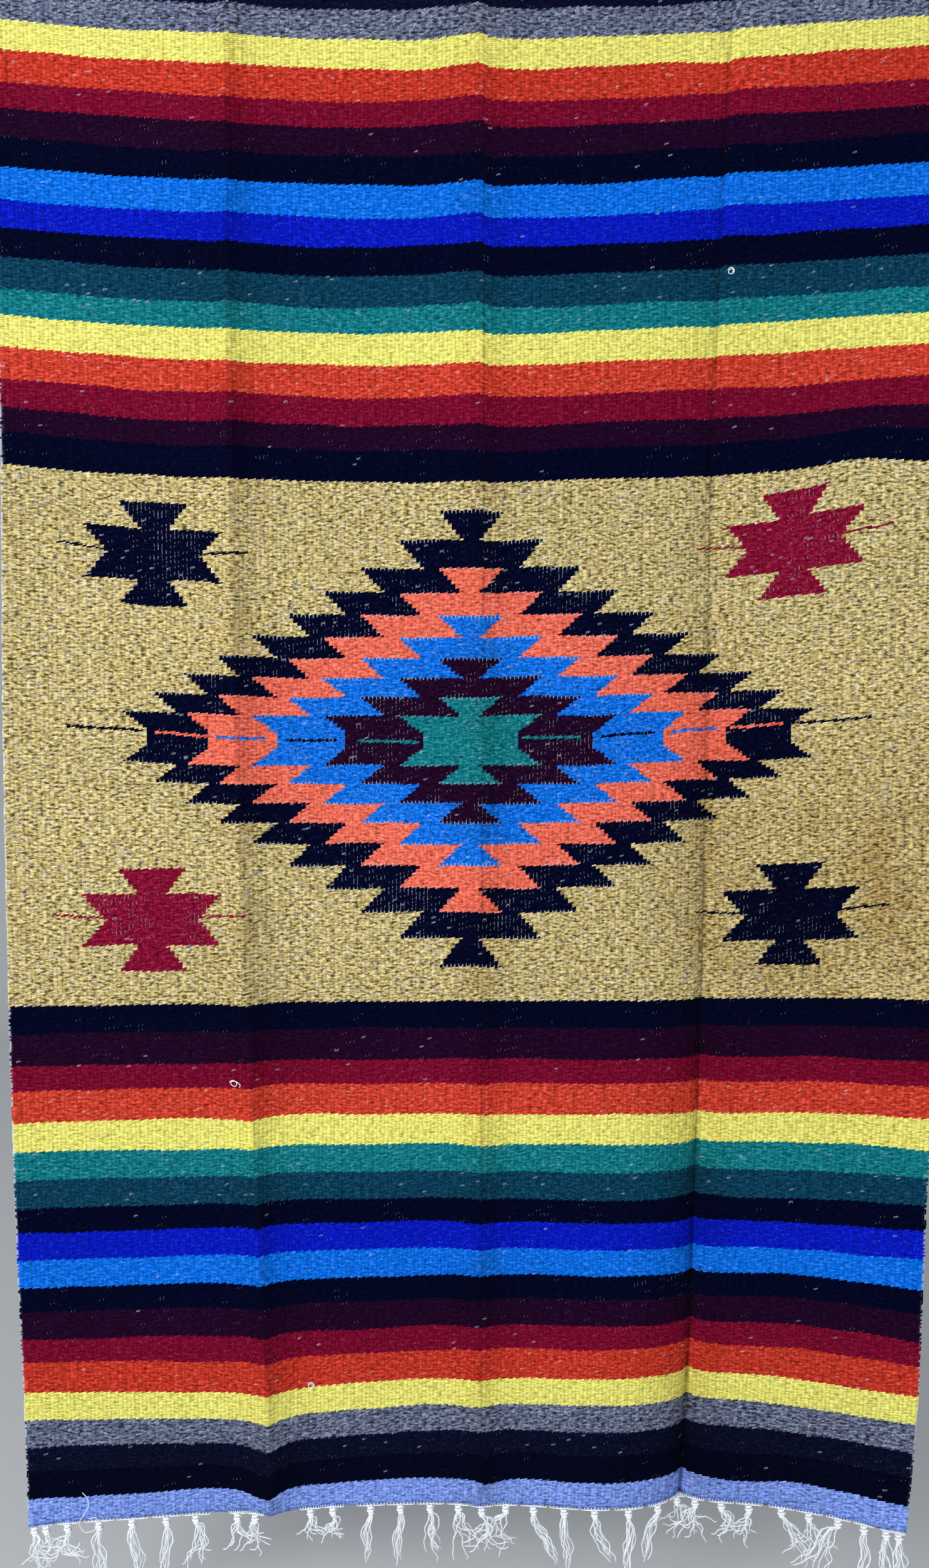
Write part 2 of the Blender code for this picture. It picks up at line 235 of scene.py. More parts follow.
@dataclass
class HangingShape:
    """How the cloth hangs, from the same sizes as its solid. Table lengths in millimetres."""

    width: float = 1.200
    length: float = 2.060
    thickness: float = 0.0026
    crease_reach: float = 0.019
    crease_tip: float = 0.005
    lines: ClassVar[tuple[str, ...]] = (
        "left_edge", "left_crease", "mid_crease", "right_crease", "right_edge",
    )
    # Columns: down, then the five lines' x, then their lift, then how near they are.
    rows: ClassVar[tuple[tuple[float, ...], ...]] = (
        (0, -598, -309, 7, 316, 588, 16, 3, 0, 6, 21, 6, 3, 0, 1, 7),
        (390, -594, -314, 7, 304, 586, 13, 4, 3, 11, 20, 28, 6, 0, 0, 24),
        (677, -591, -314, 7, 298, 584, 14, 3, 1, 9, 20, 46, 8, 0, 0, 38),
        (1015, -596, -311, 6, 300, 586, 15, 6, 4, 10, 22, 56, 10, 0, -2, 46),
        (1354, -599, -302, 5, 299, 589, 10, 0, 2, 3, 16, 60, 12, 0, -4, 50),
        (1650, -600, -291, 5, 294, 583, 11, -1, 1, -2, 10, 59, 13, 1, -5, 53),
        (1950, -598, -281, 4, 288, 577, 10, -8, 1, 1, 2, 56, 15, 1, -5, 57),
        (2060, -598, -281, 4, 283, 569, 8, 1, 1, -2, -1, 56, 16, 1, -4, 60),
    )
    # Columns: line, crease height at the top, half way and at the bottom.
    creases: ClassVar[tuple[tuple[str, float, float, float], ...]] = (
        ("left_crease", 5, 10, 12),
        ("mid_crease", 3, 7, 9),
        ("right_crease", -4, -8, -15),
    )
    # Columns: first line, second line, bow at the top, half way, bottom, deepest place.
    bows: ClassVar[tuple[tuple[str, str, float, float, float, float], ...]] = (
        ("left_edge", "left_crease", -5, -6, -2, 0.36),
        ("left_crease", "mid_crease", -11, -8, -2, 0.45),
        ("mid_crease", "right_crease", -5, 4, 20, 0.62),
        ("right_crease", "right_edge", 4, -7, -14, 0.52),
    )

    def column(self, kind: int, line: str, down: Array) -> Array:
        """One column of the table at lengths down the cloth.

        Args:
            kind: 0 for x, 1 for the lift, 2 for how near.
            line: One of the five lines.
            down: Lengths down the cloth.

        Returns:
            Metres, one for each length.
        """
        table = np.array(self.rows, float) * MILLIMETRE
        values = table[:, 1 + 5 * kind + self.lines.index(line)]
        return hermite_line(table[:, 0], values, np.clip(down, 0.0, self.length))

    def heights(self, sizes: Sequence[float], down: Array) -> Array:
        """A size that runs smoothly down the cloth.

        Args:
            sizes: Millimetres at the top, half way and the bottom.
            down: Lengths down the cloth.

        Returns:
            Metres, one for each length.
        """
        stations = np.array((0.0, 0.5 * self.length, self.length))
        values = np.array(sizes, float) * MILLIMETRE
        return hermite_line(stations, values, np.clip(down, 0.0, self.length))

    def surface(self, across: Array, down: Array) -> Array:
        """Points of the cloth's middle surface on a grid, across first.

        x runs evenly from the left edge's x to the right edge's. How near a point is
        and how far it is lifted are cubics through the five lines, to which each
        crease adds a soft cusp and each panel between two lines adds one sine bow.

        Args:
            across: (columns, rows) places across the flat cloth.
            down: (columns, rows) lengths down it, the same along each column's row.

        Returns:
            (columns, rows, 3) points.
        """
        row = down[0]
        left, right = self.column(0, "left_edge", row), self.column(0, "right_edge", row)
        x = left + (across / self.width + 0.5) * (right - left)
        stations = np.array([self.column(0, line, row) for line in self.lines])
        inside = np.clip(x, stations[0], stations[-1])
        columns = (
            np.array([self.column(kind, line, row) for line in self.lines]) for kind in (1, 2)
        )
        lift, near = (hermite(stations, values, inside) for values in columns)
        for line, *sizes in self.creases:
            away = np.hypot(x - self.column(0, line, row), self.crease_tip) - self.crease_tip
            near = near + self.heights(sizes, row) * np.exp(-away / self.crease_reach)
        for first, second, top, half_way, bottom, deepest in self.bows:
            start = self.column(0, first, row)
            part = np.clip((x - start) / (self.column(0, second, row) - start), 0.0, 1.0)
            power = math.log(0.5) / math.log(deepest)
            bow = self.heights((top, half_way, bottom), row)
            near = near + bow * np.sin(math.pi * part**power)
        return np.stack((x, -near, lift - down), axis=-1)

    def across_of(self, line: str, down: Array) -> Array:
        """Where one line lies across the flat cloth.

        Args:
            line: One of the five lines.
            down: Lengths down the cloth.

        Returns:
            Metres from the middle, one for each length.
        """
        left, right = self.column(0, "left_edge", down), self.column(0, "right_edge", down)
        return ((self.column(0, line, down) - left) / (right - left) - 0.5) * self.width

    def normals(self, points: Array) -> Array:
        """Unit normals of a surface grid.

        Args:
            points: (columns, rows, 3) points.

        Returns:
            Normals facing the front, in the same shape.
        """
        crossed = np.cross(np.gradient(points, axis=1), np.gradient(points, axis=0))
        return crossed / np.linalg.norm(crossed, axis=-1, keepdims=True)

    def edge_frames(self, across: Array, down: float) -> tuple[Array, ...]:
        """Points on one end of the cloth with their directions along, to the front and down.

        Args:
            across: Places across the flat cloth.
            down: The end's length down the cloth.

        Returns:
            Four (places, 3) arrays: points, along, front, downward.
        """
        step, rise = 0.004, 0.010
        grid = np.stack((across - step, across, across + step), axis=1)
        ends = self.surface(grid, np.full(grid.shape, down))
        upper = self.surface(grid, np.full(grid.shape, down - rise))
        along = ends[:, 2] - ends[:, 0]
        along /= np.linalg.norm(along, axis=-1, keepdims=True)
        downward = ends[:, 1] - upper[:, 1]
        front = np.cross(downward, along)
        front /= np.linalg.norm(front, axis=-1, keepdims=True)
        return ends[:, 1], along, front, np.cross(along, front)


def grid_faces(columns: int, rows: int, start: int = 0, turned: bool = False) -> Array:
    """Quads of a grid of vertices numbered down each column in turn.

    Args:
        columns: Vertices across.
        rows: Vertices down.
        start: Number of the first vertex.
        turned: True to face the other way.

    Returns:
        (quads, 4) vertex numbers.
    """
    a = (np.arange(columns - 1)[:, None] * rows + np.arange(rows - 1)[None, :]).ravel() + start
    quads = np.stack((a, a + 1, a + rows + 1, a + rows), axis=1)
    return quads[:, ::-1] if turned else quads


def tube_mesh(paths: Array, radii: Array, sides: int) -> tuple[Array, Array, Array]:
    """Round tubes with closed ends along many paths at once.

    Each ring is a circle in the plane across the path, turned so that its first spoke
    stays level. The ends close on one middle vertex each.

    Args:
        paths: (tubes, points, 3) middle lines.
        radii: (tubes, points) radii.
        sides: Vertices in a ring.

    Returns:
        Vertices, quads and triangles as quads whose last two corners are the same,
        and the (along in metres, round in parts) map of each vertex.
    """
    tubes, points, _ = paths.shape
    tangent = np.gradient(paths, axis=1)
    tangent /= np.linalg.norm(tangent, axis=-1, keepdims=True) + 1e-12
    level = np.cross(tangent, np.array((0.35, 1.0, 0.2)))
    level /= np.linalg.norm(level, axis=-1, keepdims=True) + 1e-12
    other = np.cross(tangent, level)
    turn = np.arange(sides) * 2 * math.pi / sides
    spokes = level[:, :, None] * np.cos(turn)[:, None]
    spokes = spokes + other[:, :, None] * np.sin(turn)[:, None]
    rings = paths[:, :, None] + radii[:, :, None, None] * spokes
    steps = np.linalg.norm(np.diff(paths, axis=1), axis=-1)
    along = np.concatenate((np.zeros((tubes, 1)), np.cumsum(steps, axis=1)), axis=1)
    ring_map = np.stack(np.broadcast_arrays(along[:, :, None], turn / (2 * math.pi)), axis=-1)
    ends = np.stack((paths[:, 0], paths[:, -1]), axis=1)
    end_map = np.stack((along[:, [0, -1]], np.zeros((tubes, 2))), axis=-1)
    vertices = np.concatenate((rings.reshape(tubes, -1, 3), ends), axis=1)
    vertex_map = np.concatenate((ring_map.reshape(tubes, -1, 2), end_map), axis=1)
    ring = np.arange(points - 1)[:, None] * sides
    k = np.arange(sides)[None, :]
    after = (k + 1) % sides
    quads = np.stack((ring + k, ring + after, ring + sides + after, ring + sides + k), axis=-1)
    quads = quads.reshape(-1, 4)
    last = (points - 1) * sides
    side, following = k[0], after[0]
    first_cap = np.stack((following, side, np.full(sides, points * sides)), -1)
    last_cap = np.stack((last + side, last + following, np.full(sides, points * sides + 1)), -1)
    caps = np.concatenate((first_cap, last_cap))
    caps = np.concatenate((caps, caps[:, 2:]), axis=1)
    one = np.concatenate((quads, caps))
    per_tube = points * sides + 2
    faces = (one[None] + np.arange(tubes)[:, None, None] * per_tube).reshape(-1, 4)
    return vertices.reshape(-1, 3), faces, vertex_map.reshape(-1, 2)


def add_piece(
    name: str, vertices: Array, faces: Array, maps: dict[str, Array]
) -> bpy.types.Object:
    """Make a smooth mesh object at the origin from whole arrays.

    Args:
        name: The piece's name.
        vertices: (vertices, 3) points.
        faces: (faces, 4) vertex numbers. A triangle repeats its last corner.
        maps: UV maps by name, as (vertices, 2) arrays.

    Returns:
        The new object, linked to the scene.
    """
    triangle = faces[:, 2] == faces[:, 3]
    counts = np.where(triangle, 3, 4).astype(np.int32)
    keep = np.ones(faces.shape, bool)
    keep[triangle, 3] = False
    corners = faces[keep].astype(np.int32)
    mesh = bpy.data.meshes.new(name)
    mesh.vertices.add(len(vertices))
    mesh.vertices.foreach_set("co", np.ascontiguousarray(vertices, np.float32).ravel())
    mesh.loops.add(len(corners))
    mesh.loops.foreach_set("vertex_index", corners)
    mesh.polygons.add(len(faces))
    starts = np.concatenate(([0], np.cumsum(counts)[:-1])).astype(np.int32)
    mesh.polygons.foreach_set("loop_start", starts)
    mesh.polygons.foreach_set("loop_total", counts)
    mesh.polygons.foreach_set("use_smooth", np.ones(len(faces), bool))
    mesh.update(calc_edges=True)
    for map_name, values in maps.items():
        layer = mesh.uv_layers.new(name=map_name)
        places = np.ascontiguousarray(values[corners], np.float32)
        layer.data.foreach_set("uv", places.ravel())
    piece = bpy.data.objects.new(name, mesh)
    bpy.context.scene.collection.objects.link(piece)
    return piece


class Graph:
    """Short ways to place and join nodes in one tree."""

    def __init__(self, tree: bpy.types.NodeTree) -> None:
        """Keep the tree that nodes go into."""
        self.tree = tree

    def node(self, kind: str, **settings: object) -> bpy.types.Node:
        """Add a node and set its plain settings.

        Args:
            kind: Blender's name of the node's type.
            settings: Its properties by name.

        Returns:
            The node.
        """
        made = self.tree.nodes.new(kind)
        for name, value in settings.items():
            setattr(made, name, value)
        return made

    def feed(self, socket: Socket, value: object) -> None:
        """Join another socket to this one, or set this one's own value.

        Args:
            socket: The socket fed.
            value: A socket, number, vector or colour.
        """
        if isinstance(value, Socket):
            self.tree.links.new(value, socket)
        else:
            socket.default_value = value

    def math(self, operation: str, *values: object) -> Socket:
        """Work out a Math node.

        Args:
            operation: Blender's name of the operation.
            values: Up to three sockets or numbers.

        Returns:
            The result.
        """
        made = self.node("ShaderNodeMath", operation=operation)
        for socket, value in zip(made.inputs, values):
            self.feed(socket, value)
        return made.outputs[0]

    def span(
        self, value: object, low: float, high: float, to_low: float = 0.0, to_high: float = 1.0
    ) -> Socket:
        """A value brought from one range to another in a straight line, and clamped.

        Args:
            value: A socket or a number.
            low: Where the first range begins.
            high: Where it ends.
            to_low: What low becomes.
            to_high: What high becomes.

        Returns:
            The result.
        """
        made = self.node("ShaderNodeMapRange", clamp=True)
        for socket, number in zip(made.inputs, (value, low, high, to_low, to_high)):
            self.feed(socket, number)
        return made.outputs["Result"]

    def between(self, value: object, low: float, high: float) -> Socket:
        """Find where a value lies between two numbers.

        Args:
            value: A socket or a number.
            low: The lower number.
            high: The higher number.

        Returns:
            1 between them and 0 elsewhere.
        """
        above = self.math("GREATER_THAN", value, low)
        return self.math("MULTIPLY", above, self.math("LESS_THAN", value, high))

    def mix(self, part: object, first: object, second: object, blend: str = "MIX") -> Socket:
        """Mix two colours.

        Args:
            part: 0 for the first, 1 for the second.
            first: A colour or a socket.
            second: A colour or a socket.
            blend: Blender's name of the way they mix.

        Returns:
            The mixed colour.
        """
        made = self.node("ShaderNodeMix", data_type="RGBA", blend_type=blend, clamp_factor=True)
        self.feed(made.inputs["Factor"], part)
        self.feed(made.inputs["A"], first)
        self.feed(made.inputs["B"], second)
        return made.outputs["Result"]

    def vector(self, x: object, y: object, z: object = 0.0) -> Socket:
        """Make a vector of three sockets or numbers.

        Args:
            x: The first.
            y: The second.
            z: The third.

        Returns:
            The vector.
        """
        made = self.node("ShaderNodeCombineXYZ")
        for socket, value in zip(made.inputs, (x, y, z)):
            self.feed(socket, value)
        return made.outputs[0]

    def split(self, value: Socket) -> bpy.types.Node:
        """Take a vector apart.

        Args:
            value: The vector.

        Returns:
            The node with the outputs X, Y and Z.
        """
        made = self.node("ShaderNodeSeparateXYZ")
        self.feed(made.inputs[0], value)
        return made

    def uv_map(self, name: str) -> Socket:
        """Read one of the piece's UV maps.

        Args:
            name: The map's name.

        Returns:
            The place on the map.
        """
        return self.node("ShaderNodeUVMap", uv_map=name).outputs[0]

    def stretched(self, place: Socket, squeeze: float) -> Socket:
        """Draw a pattern out across by squeezing it down.

        Args:
            place: The place on the chart.
            squeeze: How many times closer it lies down the cloth.

        Returns:
            The squeezed place.
        """
        made = self.node("ShaderNodeMapping")
        self.feed(made.inputs["Vector"], place)
        made.inputs["Scale"].default_value = (1.0, squeeze, 1.0)
        return made.outputs[0]

    def lit(self, colour: Socket, value: Socket) -> Socket:
        """Multiply a colour by one number.

        Args:
            colour: The colour.
            value: The number.

        Returns:
            The colour made lighter or darker.
        """
        return self.mix(1.0, colour, self.vector(value, value, value), "MULTIPLY")

    def noise(self, place: object, scale: float, detail: float = 2.0) -> Socket:
        """Read smooth noise at a place.

        Args:
            place: A vector.
            scale: How many lumps to a unit.
            detail: How many finer layers it has.

        Returns:
            From 0 to 1.
        """
        made = self.node("ShaderNodeTexNoise")
        self.feed(made.inputs["Vector"], place)
        made.inputs["Scale"].default_value = scale
        made.inputs["Detail"].default_value = detail
        return made.outputs["Fac"]

    def dice(self, place: object) -> Socket:
        """Throw a random number for each whole place.

        Args:
            place: A vector.

        Returns:
            From 0 to 1.
        """
        made = self.node("ShaderNodeTexWhiteNoise", noise_dimensions="3D")
        self.feed(made.inputs["Vector"], place)
        return made.outputs["Value"]

    def steps(self, value: object, stops: Sequence[tuple[float, Rgba]]) -> bpy.types.Node:
        """A colour ramp with hard steps.

        Args:
            value: The place on the ramp.
            stops: Where each colour begins, and the colour.

        Returns:
            The ramp's node, with the outputs Color and Alpha.
        """
        made = self.node("ShaderNodeValToRGB")
        ramp = made.color_ramp
        ramp.interpolation = "CONSTANT"
        for index, (place, colour) in enumerate(stops):
            element = ramp.elements[index] if index < 2 else ramp.elements.new(place)
            element.position = place
            element.color = colour
        self.feed(made.inputs["Fac"], value)
        return made


def new_group(
    name: str, inputs: Sequence[str], outputs: Sequence[str]
) -> tuple[Graph, bpy.types.Node, bpy.types.Node]:
    """Start a shader node group whose sockets are named "kind:name".

    Args:
        name: The group's name.
        inputs: Sockets in, such as "Float:Down".
        outputs: Sockets out.

    Returns:
        The group's graph, its input node and its output node.
    """
    tree = bpy.data.node_groups.new(name, "ShaderNodeTree")
    for side, sockets in (("INPUT", inputs), ("OUTPUT", outputs)):
        for socket in sockets:
            kind, _, label = socket.partition(":")
            tree.interface.new_socket(label, in_out=side, socket_type=f"NodeSocket{kind}")
    graph = Graph(tree)
    return graph, graph.node("NodeGroupInput"), graph.node("NodeGroupOutput")


def new_material(name: str) -> tuple[bpy.types.Material, Graph]:
    """Start a material with a Principled shader.

    Args:
        name: The material's name.

    Returns:
        The material and the graph of its nodes.
    """
    made = bpy.data.materials.new(name)
    made.use_nodes = True
    return made, Graph(made.node_tree)


def finish_material(
    graph: Graph, colour: Socket, height: Socket, look: tuple[float, float, float, float]
) -> None:
    """Join a colour and a bump to the graph's Principled shader.

    Args:
        graph: The material's graph.
        colour: The base colour.
        height: The bump's height.
        look: Roughness, specular level, the bump's strength and its depth in metres.
    """
    shader = graph.tree.nodes["Principled BSDF"]
    roughness, specular, strength, depth = look
    graph.feed(shader.inputs["Base Color"], colour)
    shader.inputs["Roughness"].default_value = roughness
    shader.inputs["Specular IOR Level"].default_value = specular
    bump = graph.node("ShaderNodeBump")
    bump.inputs["Strength"].default_value = strength
    bump.inputs["Distance"].default_value = depth
    graph.feed(bump.inputs["Height"], height)
    graph.feed(shader.inputs["Normal"], bump.outputs[0])


def place_group(graph: Graph, tree: bpy.types.NodeTree, **values: object) -> bpy.types.Node:
    """Place a group in a graph and feed its inputs.

    Args:
        graph: Where it goes.
        tree: The group.
        values: What each input takes, by its name with _ for a space.

    Returns:
        The group's node.
    """
    made = graph.node("ShaderNodeGroup", node_tree=tree)
    for name, value in values.items():
        graph.feed(made.inputs[name.replace("_", " ")], value)
    return made


@dataclass
class BlanketChart:
    """The woven pattern, drawn as a chart in millimetres down and across."""

    finish: ClothFinish
    length: float = 2060.0
    # Each end of the cloth: where each stripe begins, down from the nearer end's hem.
    top_stripes: ClassVar[tuple[tuple[float, Yarn], ...]] = (
        (0, Yarn.PERIWINKLE), (38, Yarn.BLACK), (71, Yarn.BLACK_FLECKED), (104, Yarn.GREY),
        (137, Yarn.YELLOW), (175, Yarn.ORANGE), (212, Yarn.CRIMSON), (246, Yarn.PURPLE),
        (279, Yarn.NAVY), (315, Yarn.LIGHT_BLUE), (352, Yarn.DARK_BLUE), (387, Yarn.NAVY),
        (423, Yarn.DARK_TEAL), (461, Yarn.TEAL), (496, Yarn.YELLOW), (533, Yarn.ORANGE_INNER),
        (572, Yarn.CRIMSON), (606, Yarn.PURPLE), (640, Yarn.NAVY), (677, Yarn.TAN),
    )
    bottom_stripes: ClassVar[tuple[tuple[float, Yarn], ...]] = (
        (1000, Yarn.TAN), (1356, Yarn.NAVY), (1392, Yarn.PURPLE), (1431, Yarn.CRIMSON),
        (1467, Yarn.ORANGE_INNER), (1507, Yarn.YELLOW), (1547, Yarn.TEAL), (1585, Yarn.DARK_TEAL),
        (1622, Yarn.NAVY), (1656, Yarn.DARK_BLUE), (1694, Yarn.LIGHT_BLUE), (1731, Yarn.NAVY),
        (1766, Yarn.PURPLE), (1802, Yarn.CRIMSON), (1836, Yarn.ORANGE), (1874, Yarn.YELLOW),
        (1914, Yarn.GREY), (1950, Yarn.BLACK_FLECKED), (1985, Yarn.BLACK), (2019, Yarn.PERIWINKLE),
    )
    centre_across: float = -6.0
    centre_down: float = 1014.0
    half_height: float = 298.0
    tier_rate: float = 0.025141
    tier_growth: float = 0.00003327
    first_tip: float = 42.0
    tip_growth: float = 53.5
    tip_slowing: float = -0.9
    tip_slant: float = 31.0
    middle_tier: float = 9.0
    tick_reach: float = 0.09
    nests: ClassVar[tuple[Yarn, ...]] = (
        Yarn.NAVY, Yarn.CORAL, Yarn.FIGURE_BLUE, Yarn.PURPLE, Yarn.TEAL,
    )
    # The needles on the middle line: where each begins away from the centre, None where bare.
    needles: ClassVar[tuple[tuple[float, Yarn | None], ...]] = (
        (0, None), (66, Yarn.TEAL), (147, None), (173, Yarn.NAVY), (246, None),
        (266, Yarn.FIGURE_BLUE), (330, None), (340, Yarn.CORAL), (408, None), (422, Yarn.NAVY),
        (520, None),
    )
    needle_half: float = 1.7
    needle_tilt: float = -2.5
    needle_drop: float = -0.5
    needle_bend: float = -14.0 / 510.0**2
    # The four corner figures: across, down, how they slope, yarn.
    corners: ClassVar[tuple[tuple[float, float, float, Yarn], ...]] = (
        (-416, 780, -0.01, Yarn.NAVY), (414, 772, 0.07, Yarn.FIGURE_CRIMSON),
        (-422, 1247, 0.0, Yarn.FIGURE_CRIMSON), (418, 1247, 0.03, Yarn.NAVY),
    )
    # A corner figure: its step's height, the half widths of waist and arm, its whiskers.
    figure_step: float = 33.0
    waist_widths: ClassVar[tuple[float, float]] = (58.0, 88.0)
    arm_widths: ClassVar[tuple[float, float]] = (18.0, 43.0)
    whisker_reach: float = 122.0
    whisker_rise: ClassVar[tuple[float, float]] = (3.0, 8.0)
    whisker_half: float = 1.3

    def bead_grid(self) -> bpy.types.NodeTree:
        """Group that splits the chart into weft beads.

        A bead is one warp pitch wide and one weft pitch tall, every other column is
        half a bead lower, and each bead leans a little. The rows wander with soft
        noise. Bead is the product of a sine across and a sine down the bead.

        Returns:
            The group.
        """
        graph, given, out = new_group(
            "bead_grid",
            ("Vector:Chart",),
            (
                "Float:Across", "Float:Down", "Float:Bead", "Float:Chance", "Float:Fleck",
                "Float:Warp Gap",
            ),
        )
        finish = self.finish
        parts = graph.split(given.outputs["Chart"])
        wander = graph.math("SUBTRACT", graph.noise(given.outputs["Chart"], 34.0, 3.0), 0.5)
        down = graph.math("MULTIPLY_ADD", wander, 2 * finish.row_wander, parts.outputs["Y"])
        beaten = graph.vector(parts.outputs["X"], parts.outputs["Y"], 5.0)
        sideways = graph.math("SUBTRACT", graph.noise(beaten, 60.0, 2.0), 0.5)
        drawn = graph.math("MULTIPLY_ADD", sideways, 2 * finish.row_wander, parts.outputs["X"])
        column_place = graph.math("DIVIDE", drawn, finish.warp_pitch)
        column = graph.math("FLOOR", column_place)
        inside = graph.math("SUBTRACT", column_place, column)
        odd = graph.math("FLOORED_MODULO", column, 2.0)
        lean = graph.math("MULTIPLY_ADD", inside, 0.6, graph.math("MULTIPLY", odd, 0.5))
        row_place = graph.math("ADD", graph.math("DIVIDE", down, finish.weft_pitch), lean)
        row = graph.math("FLOOR", row_place)
        within = graph.math("SUBTRACT", row_place, row)
        wide, tall = (
            graph.math("POWER", graph.math("SINE", graph.math("MULTIPLY", place, math.pi)), power)
            for place, power in ((inside, 0.5), (within, 0.7))
        )
        whole = graph.vector(column, row)
        from_middle = graph.math("ABSOLUTE", graph.math("SUBTRACT", inside, 0.5))
        beside = graph.math("GREATER_THAN", from_middle, 0.38)
        middle_column = graph.math("ADD", column, 0.5)
        middle_row = graph.math("SUBTRACT", graph.math("MULTIPLY_ADD", odd, -0.5, row), -0.4)
        for name, middle, pitch in (
            ("Across", middle_column, finish.warp_pitch), ("Down", middle_row, finish.weft_pitch),
        ):
            graph.feed(out.inputs[name], graph.math("MULTIPLY", middle, pitch / MILLIMETRE))
        graph.feed(out.inputs["Bead"], graph.math("MULTIPLY", wide, tall))
        graph.feed(out.inputs["Chance"], graph.dice(whole))
        graph.feed(out.inputs["Fleck"], graph.dice(graph.vector(column, row, 7.0)))
        graph.feed(out.inputs["Warp Gap"], beside)
        return graph.tree

    def stripes(self) -> bpy.types.NodeTree:
        """Group that gives the stripe's yarn at a length down, in millimetres.

        Returns:
            The group.
        """
        graph, given, out = new_group(
            "stripes", ("Float:Down",), ("Color:Colour", "Float:Heather")
        )
        down = given.outputs["Down"]
        half = 1000.0
        top = graph.steps(
            graph.math("DIVIDE", down, half),
            [(place / half, yarn.rgba) for place, yarn in self.top_stripes],
        )
        rest = self.length - half
        bottom = graph.steps(
            graph.math("DIVIDE", graph.math("SUBTRACT", down, half), rest),
            [((place - half) / rest, yarn.rgba) for place, yarn in self.bottom_stripes],
        )
        lower = graph.math("GREATER_THAN", down, half)
        colour = graph.mix(lower, top.outputs["Color"], bottom.outputs["Color"])
        change = graph.math("SUBTRACT", bottom.outputs["Alpha"], top.outputs["Alpha"])
        heather = graph.math("MULTIPLY_ADD", change, lower, top.outputs["Alpha"])
        graph.feed(out.inputs["Colour"], colour)
        graph.feed(out.inputs["Heather"], heather)
        return graph.tree

    def diamond(self) -> bpy.types.NodeTree:
        """Group that lays the nested stepped diamond and its needles over a colour.

        The tier t grows with the height left above a place. In a tier the half width
        of the outer diamond is its tip's, less a slant that grows down the tier. A
        nested diamond is the same two tiers in. Tick is 1 on the level steps, which are
        where a tier begins and the number of tips crossed has the other parity.

        Returns:
            The group.
        """
        graph, given, out = new_group(
            "stepped_diamond",
            ("Float:Across", "Float:Down", "Color:Under"),
            ("Color:Colour", "Float:Mask", "Float:Tick"),
        )
        along = graph.math("SUBTRACT", given.outputs["Across"], self.centre_across)
        aside = graph.math("ABSOLUTE", along)
        drop = graph.math("SUBTRACT", given.outputs["Down"], self.centre_down)
        left_over = graph.math("SUBTRACT", self.half_height, graph.math("ABSOLUTE", drop))
        rate = graph.math("MULTIPLY_ADD", left_over, self.tier_growth, self.tier_rate)
        place = graph.math("MULTIPLY", left_over, rate)
        tier = graph.math("MINIMUM", graph.math("FLOOR", place), self.middle_tier)
        sunk = graph.math("MINIMUM", graph.math("SUBTRACT", place, tier), 1.0)
        slant = graph.math("MULTIPLY", sunk, self.tip_slant)
        colour = given.outputs["Under"]
        mask: object = 0.0
        for nest, yarn in enumerate(self.nests):
            inner = graph.math("SUBTRACT", tier, 2.0 * nest)
            growth = graph.math("MULTIPLY_ADD", inner, self.tip_slowing, self.tip_growth)
            tip = graph.math("MULTIPLY_ADD", growth, inner, self.first_tip)
            inside = graph.math("LESS_THAN", aside, graph.math("SUBTRACT", tip, slant))
            inside = graph.math("MULTIPLY", inside, graph.math("GREATER_THAN", inner, -0.5))
            colour = graph.mix(inside, colour, yarn.rgba)
            mask = inside if nest == 0 else mask
        edge = 600.0
        lines = graph.steps(
            graph.math("DIVIDE", aside, edge),
            [
                (start / edge, (*yarn.rgba[:3], 1.0) if yarn else (0.0, 0.0, 0.0, 0.0))
                for start, yarn in self.needles
            ],
        )
        side = graph.math("SIGN", along)
        tilt = graph.math("MULTIPLY_ADD", side, self.needle_tilt, self.needle_drop)
        bend = graph.math("MULTIPLY", graph.math("MULTIPLY", aside, aside), self.needle_bend)
        line_drop = graph.math("SUBTRACT", drop, graph.math("ADD", tilt, bend))
        near_line = graph.math("LESS_THAN", graph.math("ABSOLUTE", line_drop), self.needle_half)
        on_line = graph.math("MULTIPLY", near_line, lines.outputs["Alpha"])
        rise = 4 * self.tip_slowing
        under_root = graph.math(
            "MULTIPLY_ADD", aside, rise, self.tip_growth**2 - rise * self.first_tip
        )
        root = graph.math("SQRT", graph.math("MAXIMUM", under_root, 0.0))
        above_root = graph.math("SUBTRACT", self.tip_growth, root)
        crossed = graph.math("DIVIDE", above_root, -2 * self.tip_slowing)
        apart = graph.math("SUBTRACT", tier, graph.math("FLOOR", crossed))
        stepped = graph.math("GREATER_THAN", graph.math("FLOORED_MODULO", apart, 2.0), 0.5)
        tick = graph.math("MULTIPLY", graph.math("LESS_THAN", sunk, self.tick_reach), stepped)
        graph.feed(out.inputs["Colour"], graph.mix(on_line, colour, lines.outputs["Color"]))
        graph.feed(out.inputs["Mask"], graph.math("MAXIMUM", mask, on_line))
        graph.feed(out.inputs["Tick"], graph.math("MULTIPLY", tick, mask))
        return graph.tree

